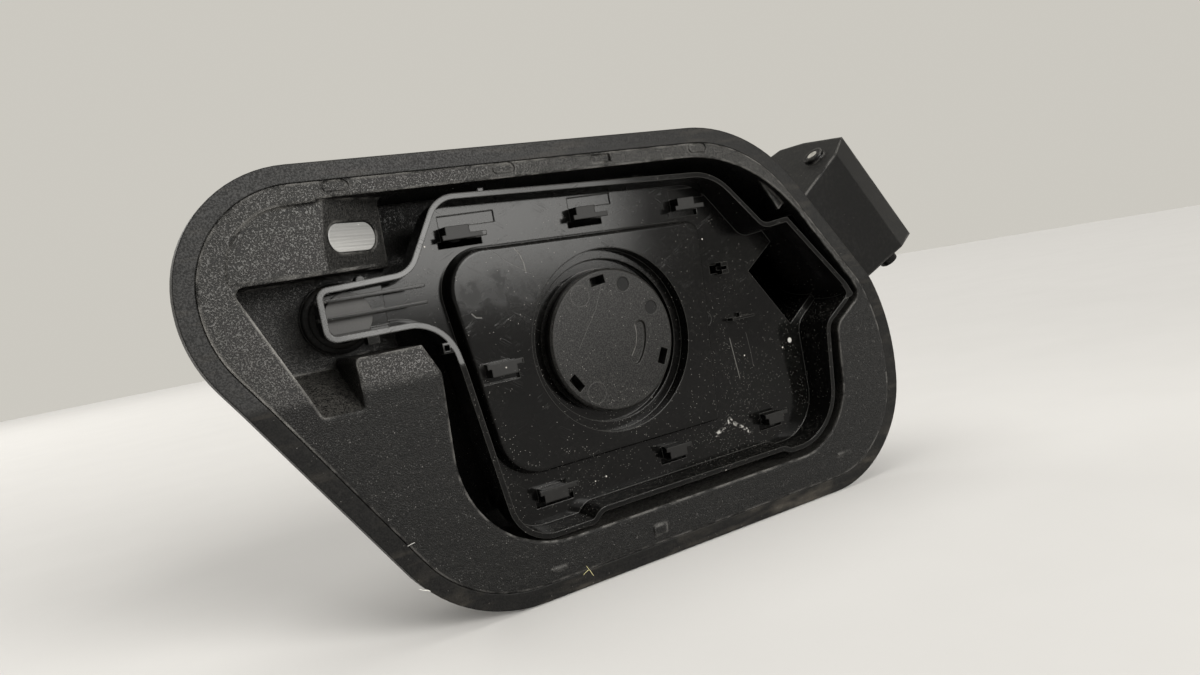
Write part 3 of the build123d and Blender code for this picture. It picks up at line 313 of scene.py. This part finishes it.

# %% [markdown]
# The carrier and the round insert carry the marks of their mould and of use, each at its own place: dark
# smears where hands wiped the dust off, pale scuffs, long scratches, the rings of ejector pins, and two round
# sunk marks on the insert. One more pale stroke is a painted highlight along the left edge of the insert's
# sunk bean. A painted picture could hold them, but short lists of points stay sharp at any distance and are
# easy to move.

# %% Marks on the smooth plastic
SMEARS = ((-60.0, 29.0, 9.0), (-46.0, 30.0, 11.0), (-35.0, 27.0, 7.0))
SCUFFS = (((49.0, -53.5), (56.0, -50.5), (58.0, -48.2), (59.5, -50.0)),
          ((58.5, -49.5), (63.5, -53.0), (68.5, -56.5)))
# scratch arcs; the last line is a painted highlight along the left edge of the insert's sunk bean
ARCS_AND_BEAN_HIGHLIGHT = (((-38.3, 43.9), (-36.3, 41.0), (-35.2, 37.5), (-35.0, 33.8)),
        ((-61.0, 21.5), (-59.6, 19.9), (-57.4, 19.4)),
        ((66.0, -12.0), (66.8, -20.0), (68.0, -31.0)),
        ((11.3, 4.0), (11.6, 0.0), (10.2, -4.6), (7.3, -8.4)))
HAIRLINES = (((-1.2, 23.9), (-6.3, 13.7), (-17.1, -0.3)),
             ((76.0, -11.0), (77.0, -20.0), (77.2, -27.0)),
             ((-49.5, 45.0), (-41.0, 38.0), (-33.0, 33.0)))
SCUFF_WIDTH, ARC_WIDTH, HAIR_WIDTH = 1.2, 0.35, 0.2
RINGS = ((-12.6, 20.5, 4.4), (-12.6, -20.0, 4.4), (54.1, -0.8, 3.4))
SUNK_MARKS = ((9.0, 22.0, 3.0), (21.0, 10.0, 3.0))
BARE_SPOT = (102.0, -19.7, 2.2)
HOOKS = ((-59.8, 53.2, 20.2, 5.2), (-0.2, 54.0, 16.6, 5.2), (51.7, 51.8, 15.6, 5.2),
         (-54.5, -1.2, 15.6, 5.2), (-38.1, -55.6, 17.6, 5.2), (23.7, -53.9, 13.6, 5.2),
         (81.2, -52.7, 13.6, 5.2))
HOOKS_FRONT, INSERT_R = -36.9, 30.4


def scratches(finish, slant, fine):
    """Thin broken lines that run along a slant, in degrees."""
    turned = finish.at.node("VectorRotate", {"rotation_type": "Y_AXIS"},
                            {"Vector": finish.at, "Angle": math.radians(slant)})
    lines = noise(turned, fine, 1.0, (0.03, 0.3, 1.0))
    broken = noise(turned, 8.0, 2.0).ramp(0.54, 0.68)
    return (lines - 0.5).size().ramp(0.012, 0.0) * broken


smooth = Finish("smooth_plastic", edge=0.6, specular_ior_level=0.13)
smear, scuff, scratch_lines_and_highlight, rings, plates, marks = 0.0, 0.0, 0.0, 0.0, 0.0, 0.0
for x, z, reach in SMEARS:
    smear = spot(smooth, x, z, reach) + smear
for line in SCUFFS:
    scuff = stroke(smooth, line, SCUFF_WIDTH) | scuff
for line in ARCS_AND_BEAN_HIGHLIGHT:
    scratch_lines_and_highlight = stroke(smooth, line, ARC_WIDTH) | scratch_lines_and_highlight
for line in HAIRLINES:
    scratch_lines_and_highlight = stroke(smooth, line, HAIR_WIDTH) * 0.4 | scratch_lines_and_highlight
for x, z, radius in RINGS:
    rings = circle(smooth, x, z, radius) | rings
for x, z, wide, high in HOOKS:
    plates = ((smooth.x - x).size() < wide / 2) * ((smooth.z - z).size() < high / 2) | plates
for x, z, radius in SUNK_MARKS:
    marks = away(smooth, x, z).ramp(radius + 0.1, radius - 0.2) | marks
plates = plates * (smooth.y < HOOKS_FRONT)
insert = away(smooth, 0.0, 0.0).ramp(INSERT_R + 0.2, INSERT_R - 0.2)
print("marks", len(SMEARS + SCUFFS + ARCS_AND_BEAN_HIGHLIGHT + HAIRLINES + RINGS + SUNK_MARKS), "hooks", len(HOOKS))

# %% [markdown]
# Under the marks the plastic comes from a polished mould: smooth, half glossy, with fine scratches all over.
# Those are noise pulled out long in one direction and cut to its middle value, twice over at different
# slants. The hooks' front plates and the insert have a duller skin than the panel, which breaks up its sheen.

# %% Smooth plastic
scars = scratches(smooth, 24.0, 1.1) | scratches(smooth, -37.0, 1.5)
cloud = noise(smooth.at, 26.0, 4.0)
skin = noise(smooth.at, 0.5, 2.0)
smear = (smear * noise(smooth.at, 4.0, 4.0).ramp(0.36, 0.56)).ramp(0.0, 0.7)
scuff = scuff * noise(smooth.at, 1.4, 5.0).ramp(0.44, 0.66)
clean = cloud.colour((0.0015, 0.0015, 0.0015), (0.0036, 0.0035, 0.0033))
# paler edges: wear, and a painted highlight on their rounding
clean = (smooth.edges * 0.35).colour(clean, (0.10, 0.098, 0.092))
clean = plates.colour(clean, (0.008, 0.0078, 0.0074))
clean = (insert * skin.ramp(0.40, 0.68)).colour(clean, (0.022, 0.0215, 0.020))
# scratches, ejector rings, and a painted highlight on the sunk bean's left edge
clean = (scars * 0.05 + scratch_lines_and_highlight * 0.4 + rings * 0.09).colour(clean, (0.16, 0.155, 0.145))
clean = (smear * 0.8 | marks).colour(clean, (0.0012, 0.0012, 0.0012))
clean = (scuff * 0.8 + spot(smooth, *BARE_SPOT).ramp(0.3, 0.6)).colour(clean, (0.36, 0.35, 0.33))
sheen = 0.10 + cloud * 0.06 + scars * 0.06 + smear * 0.22 + scuff * 0.3
sheen = sheen + insert * 0.20 + plates * 0.26 + marks * 0.2
colour, rough, dots = dusty(smooth, clean, sheen, 0.75, 0.035)
relief = skin * (0.3 + insert * 1.6) - scars * 0.4 - scratch_lines_and_highlight - rings + dots * 0.8
SMOOTH = smooth.paint(colour, rough, relief, 0.018)
print(SMOOTH.name, len(SMOOTH.node_tree.nodes), "nodes")

# %% [markdown]
# The soft lip round the flange and the boot are rubber: no gloss, a tight even tooth, and a grey bloom
# that gathers at the lowest edge, where the lip has stood on a dusty floor. A mask painted by hand could
# place the bloom, but tied to the height it stays at the bottom however the lip is shaped.

# %% Black rubber
BLOOM_Z = (-60.0, -94.0)

rubber = Finish("black_rubber", edge=0.7, specular_ior_level=0.12)
tooth = noise(rubber.at, 0.6, 2.0)
bloom = noise(rubber.at, 9.0, 5.0, (0.4, 1.0, 1.0)).ramp(0.46, 0.70) * rubber.z.ramp(*BLOOM_Z)
streaks = noise(rubber.at, 3.0, 4.0, (0.15, 1.0, 1.0)).ramp(0.52, 0.70)
clean = tooth.ramp(0.3, 0.7).colour((0.002, 0.002, 0.002), (0.009, 0.0088, 0.0084))
clean = (bloom * 0.16 + streaks * 0.04).colour(clean, (0.20, 0.175, 0.14))
colour, rough, dots = dusty(rubber, clean, 0.52 - tooth.ramp(0.35, 0.65) * 0.16, 0.12, 0.06)
RUBBER = rubber.paint(colour, rough, tooth + dots * 0.4, 0.03)
print(RUBBER.name, len(RUBBER.node_tree.nodes), "nodes")

# %% [markdown]
# The pad in the tongue and the nut on the latch are a grey plastic with a dull moulded face. The pieces of
# the latch that nobody sees are the milky colour that the plastic has without pigment. Two materials could be
# wired one by one, but only their colours and sheen differ, so one function makes both.

# %% Grey and natural plastic


def dull_plastic(name, dark, light, sheen):
    """A plain moulded plastic: cloudy colour, a fine tooth, and paler edges for wear and a painted highlight.
    """
    plain = Finish(name, edge=0.4, specular_ior_level=0.3)
    tooth = noise(plain.at, 0.55, 3.0)
    cloud = noise(plain.at, 9.0, 3.0) * 0.6 + tooth.ramp(0.3, 0.7) * 0.4
    # paler edges: wear and a painted highlight
    edge = tuple(min(1.0, 1.6 * part) for part in light)
    clean = (plain.edges * 0.4).colour(cloud.colour(dark, light), edge)
    return plain.paint(clean, sheen + tooth * 0.15, tooth, 0.02)


GREY = dull_plastic("grey_plastic", (0.021, 0.020, 0.019), (0.042, 0.041, 0.040), 0.45)
NATURAL = dull_plastic("natural_plastic", (0.56, 0.53, 0.45), (0.68, 0.65, 0.57), 0.40)
print(GREY.name, NATURAL.name)

# %% [markdown]
# Two steels: zinc plate, cloudy and a little yellow, on the pin and the clips, and drawn spring wire, which
# is darker and more even. Both are fully metallic. A plain colour would look like plastic, so the polish
# varies in clouds and in fine marks.

# %% Steels


def steel(name, dark, light, size, sheen):
    """Bare metal with cloudy colour and uneven polish."""
    bare = Finish(name, edge=0.25, metallic=1.0)
    cloud = noise(bare.at, size, 5.0)
    marks = noise(bare.at, 0.25)
    clean = cloud.ramp(0.3, 0.7).colour(dark, light)
    return bare.paint(clean, sheen + cloud * 0.2 + marks * 0.1, marks, 0.006)


ZINC = steel("zinc_steel", (0.42, 0.41, 0.38), (0.62, 0.61, 0.58), 2.2, 0.22)
SPRING = steel("spring_steel", (0.20, 0.20, 0.205), (0.36, 0.36, 0.37), 1.0, 0.25)
print(ZINC.name, SPRING.name)

# %% [markdown]
# The light's small board lies hidden behind the lens. It is the usual green lacquer over copper, a shade
# lighter where the copper runs, which a coarse brick pattern is enough to suggest.

# %% Circuit board
board = Finish("circuit_board", edge=0.2, specular_ior_level=0.5)
bricks = {"Vector": board.at, "Scale": 0.6, "Mortar Size": 0.06}
tracks = board.at.node("TexBrick", None, bricks, output="Fac")
lacquer = noise(board.at, 3.0, 3.0)
clean = (tracks * 0.7 + lacquer * 0.3).colour((0.012, 0.075, 0.030), (0.030, 0.16, 0.065))
BOARD = board.paint(clean, 0.30 + lacquer * 0.15, tracks, 0.02)
print(BOARD.name)

# %% [markdown]
# The status light's window is frosted plastic, painted greyer towards its top as shade from the flange.
# Clear plastic with a rough skin could be traced in full, but nothing shines through here, so an opaque
# pale skin with fine lines and specks looks the same.

# %% Frosted plastic
LENS_LOW, LENS_HIGH = 50.0, 63.0

frosted = Finish("frosted_lens", edge=0.2, specular_ior_level=0.5)
painted_top_shade = frosted.z.ramp(LENS_LOW, LENS_HIGH)
cloud = noise(frosted.at, 2.5, 4.0)
ruled = noise(frosted.at, 0.9, 1.0, (0.02, 0.02, 1.0))
# painted shade: the lens is greyer towards its top
clean = painted_top_shade.colour((0.33, 0.326, 0.316), (0.175, 0.175, 0.171))
clean = (ruled.ramp(0.40, 0.62) * 0.35 + cloud * 0.2).colour(clean, (0.15, 0.15, 0.146))
clean = specks(frosted.at, 1.9, 0.3, 0.25).colour(clean, (0.62, 0.61, 0.59))
FROSTED = frosted.paint(clean, 0.34 + cloud * 0.2, cloud, 0.02)
print(FROSTED.name)

# %% [markdown]
# A few pieces need rounder shapes than their solids have. Each is drawn point by point, and one function
# turns the drawing into an object, gives it its finish and fastens it to the body that it rides on.

# %% New pieces


def new_piece(name, mesh_maker, finish, body):
    """Turn a filled bmesh into a smooth object that rides a body and takes a finish."""
    shape = bmesh.new()
    mesh_maker(shape)
    bmesh.ops.recalc_face_normals(shape, faces=shape.faces)
    mesh = bpy.data.meshes.new(name)
    shape.to_mesh(mesh)
    shape.free()
    mesh.shade_smooth()
    piece = bpy.data.objects.new(name, mesh)
    bpy.context.scene.collection.objects.link(piece)
    mesh.materials.append(finish)
    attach(piece, body)
    return piece


print("new pieces ready")

# %% [markdown]
# The window has fine lines moulded along it, which spread the light sideways. A flat solid with a bump would
# look the part from the front only, so a new lens takes the solid's place: rows of points across the slot,
# each row a little proud or sunk, then given its thickness.

# %% Light window
LENS_LENGTH, LENS_HEIGHT, LENS_T, RAMP_DEG = 23.0, 10.4, 2.3, 28.0
LENS_LINES, LENS_LINE_DEPTH, LENS_EDGE = 9, 0.10, 0.7
LENS_ROWS, LENS_COLUMNS = 73, 49

lo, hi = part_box("status_lens")
lens_frame = Matrix.Translation((lo + hi) / 2) @ Matrix.Rotation(math.radians(RAMP_DEG), 4, "Z")


def lens_shape(shape):
    """Stadium of ruled rows: across its width, then back to its flat rear face."""
    radius, front = LENS_HEIGHT / 2, []
    for row in range(LENS_ROWS):
        high = radius * math.sin(math.pi / 2 * (2 * row / (LENS_ROWS - 1) - 1))
        half = LENS_LENGTH / 2 - radius + math.sqrt(max(0.0, radius ** 2 - high ** 2))
        line = []
        for column in range(LENS_COLUMNS):
            along = half * math.sin(math.pi / 2 * (2 * column / (LENS_COLUMNS - 1) - 1))
            past = max(0.0, abs(along) - (LENS_LENGTH / 2 - radius))
            rim = min(1.0, max(0.0, radius - math.hypot(past, high)) / LENS_EDGE)
            turn = 2 * math.pi * LENS_LINES * (high / radius + 1) / 2
            wave = LENS_LINE_DEPTH * (0.5 - 0.5 * math.cos(turn))
            sunk = 0.5 * LENS_EDGE * (1 - math.sqrt(rim * (2 - rim))) + wave * rim
            line.append(shape.verts.new(Vector((along, sunk - LENS_T / 2, high)) * MM))
        front.append(line)
    for under, over in zip(front, front[1:]):
        for column in range(LENS_COLUMNS - 1):
            shape.faces.new((under[column], under[column + 1], over[column + 1], over[column]))
    grown = bmesh.ops.extrude_face_region(shape, geom=shape.faces[:])
    for corner in grown["geom"]:
        if isinstance(corner, bmesh.types.BMVert):
            corner.co.y = LENS_T / 2 * MM
    shape.transform(lens_frame)


lens = new_piece("light_window", lens_shape, FROSTED, "base")
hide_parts("status_lens")
print(lens.name, len(lens.data.polygons), "faces, from", [round(v / MM, 1) for v in lo])

# %% [markdown]
# The boot behind the tongue is a little bellows. The solid has straight folds with sharp crests, but rubber
# folds are round. A ring of points turned about the latch's axis, then smoothed by a subdivision
# surface, gives round crests and stays closed all over.

# %% Latch boot
BOOT_HOLE, BOOT_TIP, BOOT_WALL, BOOT_DIP, BOOT_FOLDS, BOOT_SIDES = 5.2, 9.4, 1.2, 1.9, 3, 48

boot_lo, boot_hi = (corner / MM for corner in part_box("latch_boot"))
boot_r = (boot_hi.x - boot_lo.x) / 2
boot_x, boot_z = (boot_lo.x + boot_hi.x) / 2, (boot_lo.z + boot_hi.z) / 2


def boot_profile():
    """Radius and Y down the outside of the folds, then back up the inside."""
    deep = boot_hi.y - boot_lo.y
    step = (deep - BOOT_WALL) / (2 * BOOT_FOLDS)
    outside = [(BOOT_HOLE, 0.0), (BOOT_TIP - 1.4, 0.0)]
    for fold in range(BOOT_FOLDS):
        crest = BOOT_TIP + (boot_r - BOOT_TIP) * fold / (BOOT_FOLDS - 1)
        start = BOOT_WALL + 2 * fold * step
        outside += [(crest, start + 0.6 * step), (crest, start + 1.3 * step),
                    (crest - BOOT_DIP, start + 2 * step)]
    outside[-1] = (boot_r - BOOT_WALL / 2, deep)
    inside = [(max(BOOT_HOLE, reach - BOOT_WALL), min(deep, down + BOOT_WALL * (down == 0)))
              for reach, down in outside]
    return [(reach, boot_lo.y + down) for reach, down in outside + inside[::-1]]


def boot_shape(shape):
    """The profile turned about the latch's axis, as a closed ring of quads."""
    profile, turned = boot_profile(), []
    for side in range(BOOT_SIDES):
        turn = 2 * math.pi * side / BOOT_SIDES
        points = [(boot_x + reach * math.cos(turn), down, boot_z + reach * math.sin(turn))
                  for reach, down in profile]
        turned.append([shape.verts.new(Vector(point) * MM) for point in points])
    for side in range(BOOT_SIDES):
        here, there = turned[side], turned[(side + 1) % BOOT_SIDES]
        for place in range(len(profile)):
            after = (place + 1) % len(profile)
            shape.faces.new((here[place], here[after], there[after], there[place]))


boot = new_piece("bellows_boot", boot_shape, RUBBER, "base")
round_folds = boot.modifiers.new("round folds", "SUBSURF")
round_folds.levels = round_folds.render_levels = 2
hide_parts("latch_boot")
print(boot.name, "radius", round(boot_r, 1), "mm")

# %% [markdown]
# Inside the latch, a coil spring pushes the plunger back out. It could be wound again as a bevelled curve,
# but the solid has the right turns already and only can't shorten. A copy of its mesh takes its place.

coil = bpy.data.objects.new("wound_spring", NODES["latch_spring"].data.copy())
bpy.context.scene.collection.objects.link(coil)
coil.data.materials.clear()
coil.data.materials.append(SPRING)
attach(coil, "base")
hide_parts("latch_spring")
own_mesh(coil)

# %% [markdown]
# Behind the light, its plug socket gets three tinned blades. Each is a small bar with bevelled edges, set in
# the lens's own frame, so they stand straight in the slanted socket. Three solids would do too, but the
# blades only show when the part is turned round.

# %% Socket blades
BLADE_PITCH, BLADE_WIDE, BLADE_THICK, BLADE_LONG, BLADE_FOOT = 2.8, 1.2, 0.6, 6.6, 15.9
BLADE_BEVEL = 0.12


def blade_shape(shape):
    """Three bars side by side, rooted in the socket's floor."""
    for place in (-1, 0, 1):
        size = Matrix.Diagonal((BLADE_WIDE * MM, BLADE_LONG * MM, BLADE_THICK * MM, 1.0))
        middle = Vector((place * BLADE_PITCH, BLADE_FOOT + BLADE_LONG / 2 - LENS_T / 2, 0.0)) * MM
        bmesh.ops.create_cube(shape, size=1.0, matrix=lens_frame @ Matrix.Translation(middle) @ size)
    bmesh.ops.bevel(shape, geom=shape.edges[:], offset=BLADE_BEVEL * MM, segments=2, affect="EDGES")


blades = new_piece("socket_blades", blade_shape, ZINC, "base")
print(blades.name, len(blades.data.polygons), "faces")

# %% [markdown]
# Two bits of dirt are big enough to be shapes: a dry straw on the lower band of the flange and some lint at
# its corner. Hair strands would do too, but a thin tapering curve is easier to lay from listed points. Each
# lies on the flange's lower slope, a width above it.

# %% Straw and lint
CREASE_Y, CREASE_Z, FOLD = -51.4, 3.0, math.tan(math.radians(6.0))
STRAW_THICK, LINT_THICK = 0.13, 0.14
STRAW = (((-34.4, -86.3, 0.2), (-33.0, -88.6, 0.5), (-31.6, -91.4, 0.3)),
         ((-33.3, -88.2, 0.3), (-34.8, -88.6, 0.6), (-36.1, -89.6, 0.3)))
LINT = (((-103.6, -72.3, 0.2), (-102.2, -73.4, 0.6), (-100.6, -73.6, 0.9), (-99.6, -74.6, 0.3)),
        ((-105.2, -55.5, 0.1), (-103.8, -55.1, 0.2), (-102.4, -55.0, 0.1)))


def bit_finish(name, dark, light):
    """Dry fibre: streaky colour and no gloss."""
    bit = Finish(name, edge=0.1, specular_ior_level=0.2)
    fibre = noise(bit.at, 0.5, 3.0)
    return bit.paint(fibre.colour(dark, light), 0.8 + fibre * 0.1, fibre, 0.03)


def flange_bits(name, strands, thick, finish):
    """Tapering curves on the flange's lower face, from their X, Z and lift in millimetres."""
    curve = bpy.data.curves.new(name, "CURVE")
    curve.dimensions, curve.bevel_depth, curve.bevel_resolution = "3D", thick * MM, 2
    curve.use_fill_caps = True
    for strand in strands:
        line = curve.splines.new("NURBS")
        line.points.add(len(strand) - 1)
        for point, (x, z, rise) in zip(line.points, strand):
            point.co = (x * MM, (CREASE_Y + (CREASE_Z - z) * FOLD - thick - rise * thick) * MM, z * MM, 1.0)
            point.radius = 0.5 + rise
        line.order_u, line.use_endpoint_u = 3, True
    curve.materials.append(finish)
    bits = bpy.data.objects.new(name, curve)
    bpy.context.scene.collection.objects.link(bits)
    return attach(bits, "base")


straw = bit_finish("straw", (0.36, 0.33, 0.16), (0.58, 0.54, 0.30))
lint = bit_finish("lint", (0.45, 0.44, 0.41), (0.66, 0.65, 0.62))
flange_bits("dry_straw", STRAW, STRAW_THICK, straw)
flange_bits("corner_lint", LINT, LINT_THICK, lint)
print("bits of dirt", len(STRAW) + len(LINT))

# %% [markdown]
# The solids keep their shapes, so each only takes its finish. The finishes could be read from the packed
# record, but one short table shows at a glance which pieces are of the same stuff.

# %% Finishes on the solids
FINISH_NODES = (
    (GRAINED, ("housing",)),
    (SMOOTH, ("flap_carrier", "round_insert", "pin_clip", "latch_body", "latch_cover", "lamp_housing",
              "lamp_socket")),
    (RUBBER, ("rim_seal", "insert_seal", "latch_boot", "inlet_gasket", "drain_grommet", "bump_stops")),
    (GREY, ("latch_seat", "latch_lock_ring")),
    (NATURAL, ("hinge_bushes", "latch_plunger", "turn_sleeve")),
    (FROSTED, ("status_lens",)),
    (ZINC, ("hinge_pin", "body_clips")),
    (SPRING, ("hinge_spring", "latch_spring")),
    (BOARD, ("led_board",)))
dressed = 0
for finish, names in FINISH_NODES:
    for name in names:
        solid = NODES[name].data
        solid.materials.clear()
        solid.materials.append(finish)
        dressed += 1
print("dressed", dressed, "of", len(NODES))

# %% [markdown]
# The part stands on a plain pale floor, a wide disc that ends in a pale room. The room shows its colour to
# the camera and in reflections, but gives little light of its own, because blacks are only black in a dim
# room.

# %% Floor and room
FLOOR_Z = CAD_BOX[0][2] - 0.0005
FLOOR_R, FLOOR_SIDES = 3.2, 96
ROOM_COLOUR, ROOM_LIGHT = (0.60, 0.58, 0.53), 0.07

paper = Finish("pale_floor", edge=0.1, specular_ior_level=0.2)
fibre = noise(paper.at, 60.0, 4.0)
paper_colour = fibre.colour((0.65, 0.64, 0.625), (0.69, 0.68, 0.665))
PAPER = paper.paint(paper_colour, 0.8 + fibre * 0.1, fibre, 0.01)
turns = [2 * math.pi * side / FLOOR_SIDES for side in range(FLOOR_SIDES)]
disc = bpy.data.meshes.new("floor")
disc.from_pydata([(FLOOR_R * math.cos(turn), FLOOR_R * math.sin(turn), FLOOR_Z) for turn in turns], [],
                 [range(FLOOR_SIDES)])
disc.materials.append(PAPER)
floor = bpy.data.objects.new("floor", disc)
bpy.context.scene.collection.objects.link(floor)

world = bpy.data.worlds.new("pale_room")
world.use_nodes = True
world.node_tree.nodes.clear()
room = Wire(world.node_tree)
rays = room.node("LightPath")
wall = (*ROOM_COLOUR, 1.0)
dim = room.node("Background", None, {"Color": wall, "Strength": ROOM_LIGHT / max(ROOM_COLOUR)})
pale = room.node("Background", None, {"Color": wall})
seen = rays | rays.out("Is Glossy Ray") | rays.out("Is Transmission Ray")
shown = room.node("MixShader", None, {0: seen, 1: dim, 2: pale})
room.node("OutputWorld", None, {"Surface": shown})
bpy.context.scene.world = world
bpy.context.scene.view_settings.view_transform = "Standard"
print("floor at", round(FLOOR_Z / MM, 1), "mm")

# %% [markdown]
# Four soft lights, all a slightly warm white. A wide sun from above lights the floor evenly, and a slanted
# one from the front favours the upper slope of the flange. A lamp low at the right is what the smooth panel
# mirrors as its sheen; its beam is narrow, so it leaves no bright pool on the floor. The last one, far
# behind, shows the rear. One big dome would be plainer, but under it all the blacks look alike.

# %% Lamps
WARM_WHITE = (1.0, 0.985, 0.95)
SUN_PLACE, SUN_ANGLE, SUN_STRENGTH = (-0.3, -0.2, 2.2), 60.0, 1.75
SIDE_PLACE, SIDE_ANGLE, SIDE_STRENGTH = (0.20, -0.89, 0.41), 30.0, 2.6
KEY_PLACE, KEY_SIZE, KEY_POWER, KEY_SPREAD = (0.46, -1.15, 0.24), (0.52, 0.40), 1.35, 60.0
BACK_PLACE, BACK_SIZE, BACK_POWER, BACK_SPREAD = (-1.0, 2.2, 1.4), (1.6, 1.2), 18.0, 180.0


def lamp(name, kind, place, **settings):
    """A lamp that looks at the middle of the part and stays out of every picture."""
    light = bpy.data.lights.new(name, kind)
    for key, value in settings.items():
        setattr(light, key, value)
    light.color = WARM_WHITE
    holder = bpy.data.objects.new(name, light)
    holder.location = place
    holder.rotation_euler = (-Vector(place)).to_track_quat("-Z", "Y").to_euler()
    holder.visible_camera = False
    bpy.context.scene.collection.objects.link(holder)
    return holder


def panel(name, place, size, power, spread):
    """A lamp with a broad face, whose beam can be narrowed to a spread in degrees."""
    return lamp(name, "AREA", place, shape="RECTANGLE", size=size[0], size_y=size[1], energy=power,
                spread=math.radians(spread))


lamps = [lamp("soft_sun", "SUN", SUN_PLACE, energy=SUN_STRENGTH, angle=math.radians(SUN_ANGLE)),
         lamp("slant_sun", "SUN", SIDE_PLACE, energy=SIDE_STRENGTH, angle=math.radians(SIDE_ANGLE)),
         panel("front_lamp", KEY_PLACE, KEY_SIZE, KEY_POWER, KEY_SPREAD),
         panel("back_lamp", BACK_PLACE, BACK_SIZE, BACK_POWER, BACK_SPREAD)]
print("lamps", [holder.name for holder in lamps])

# %% End
print("done")
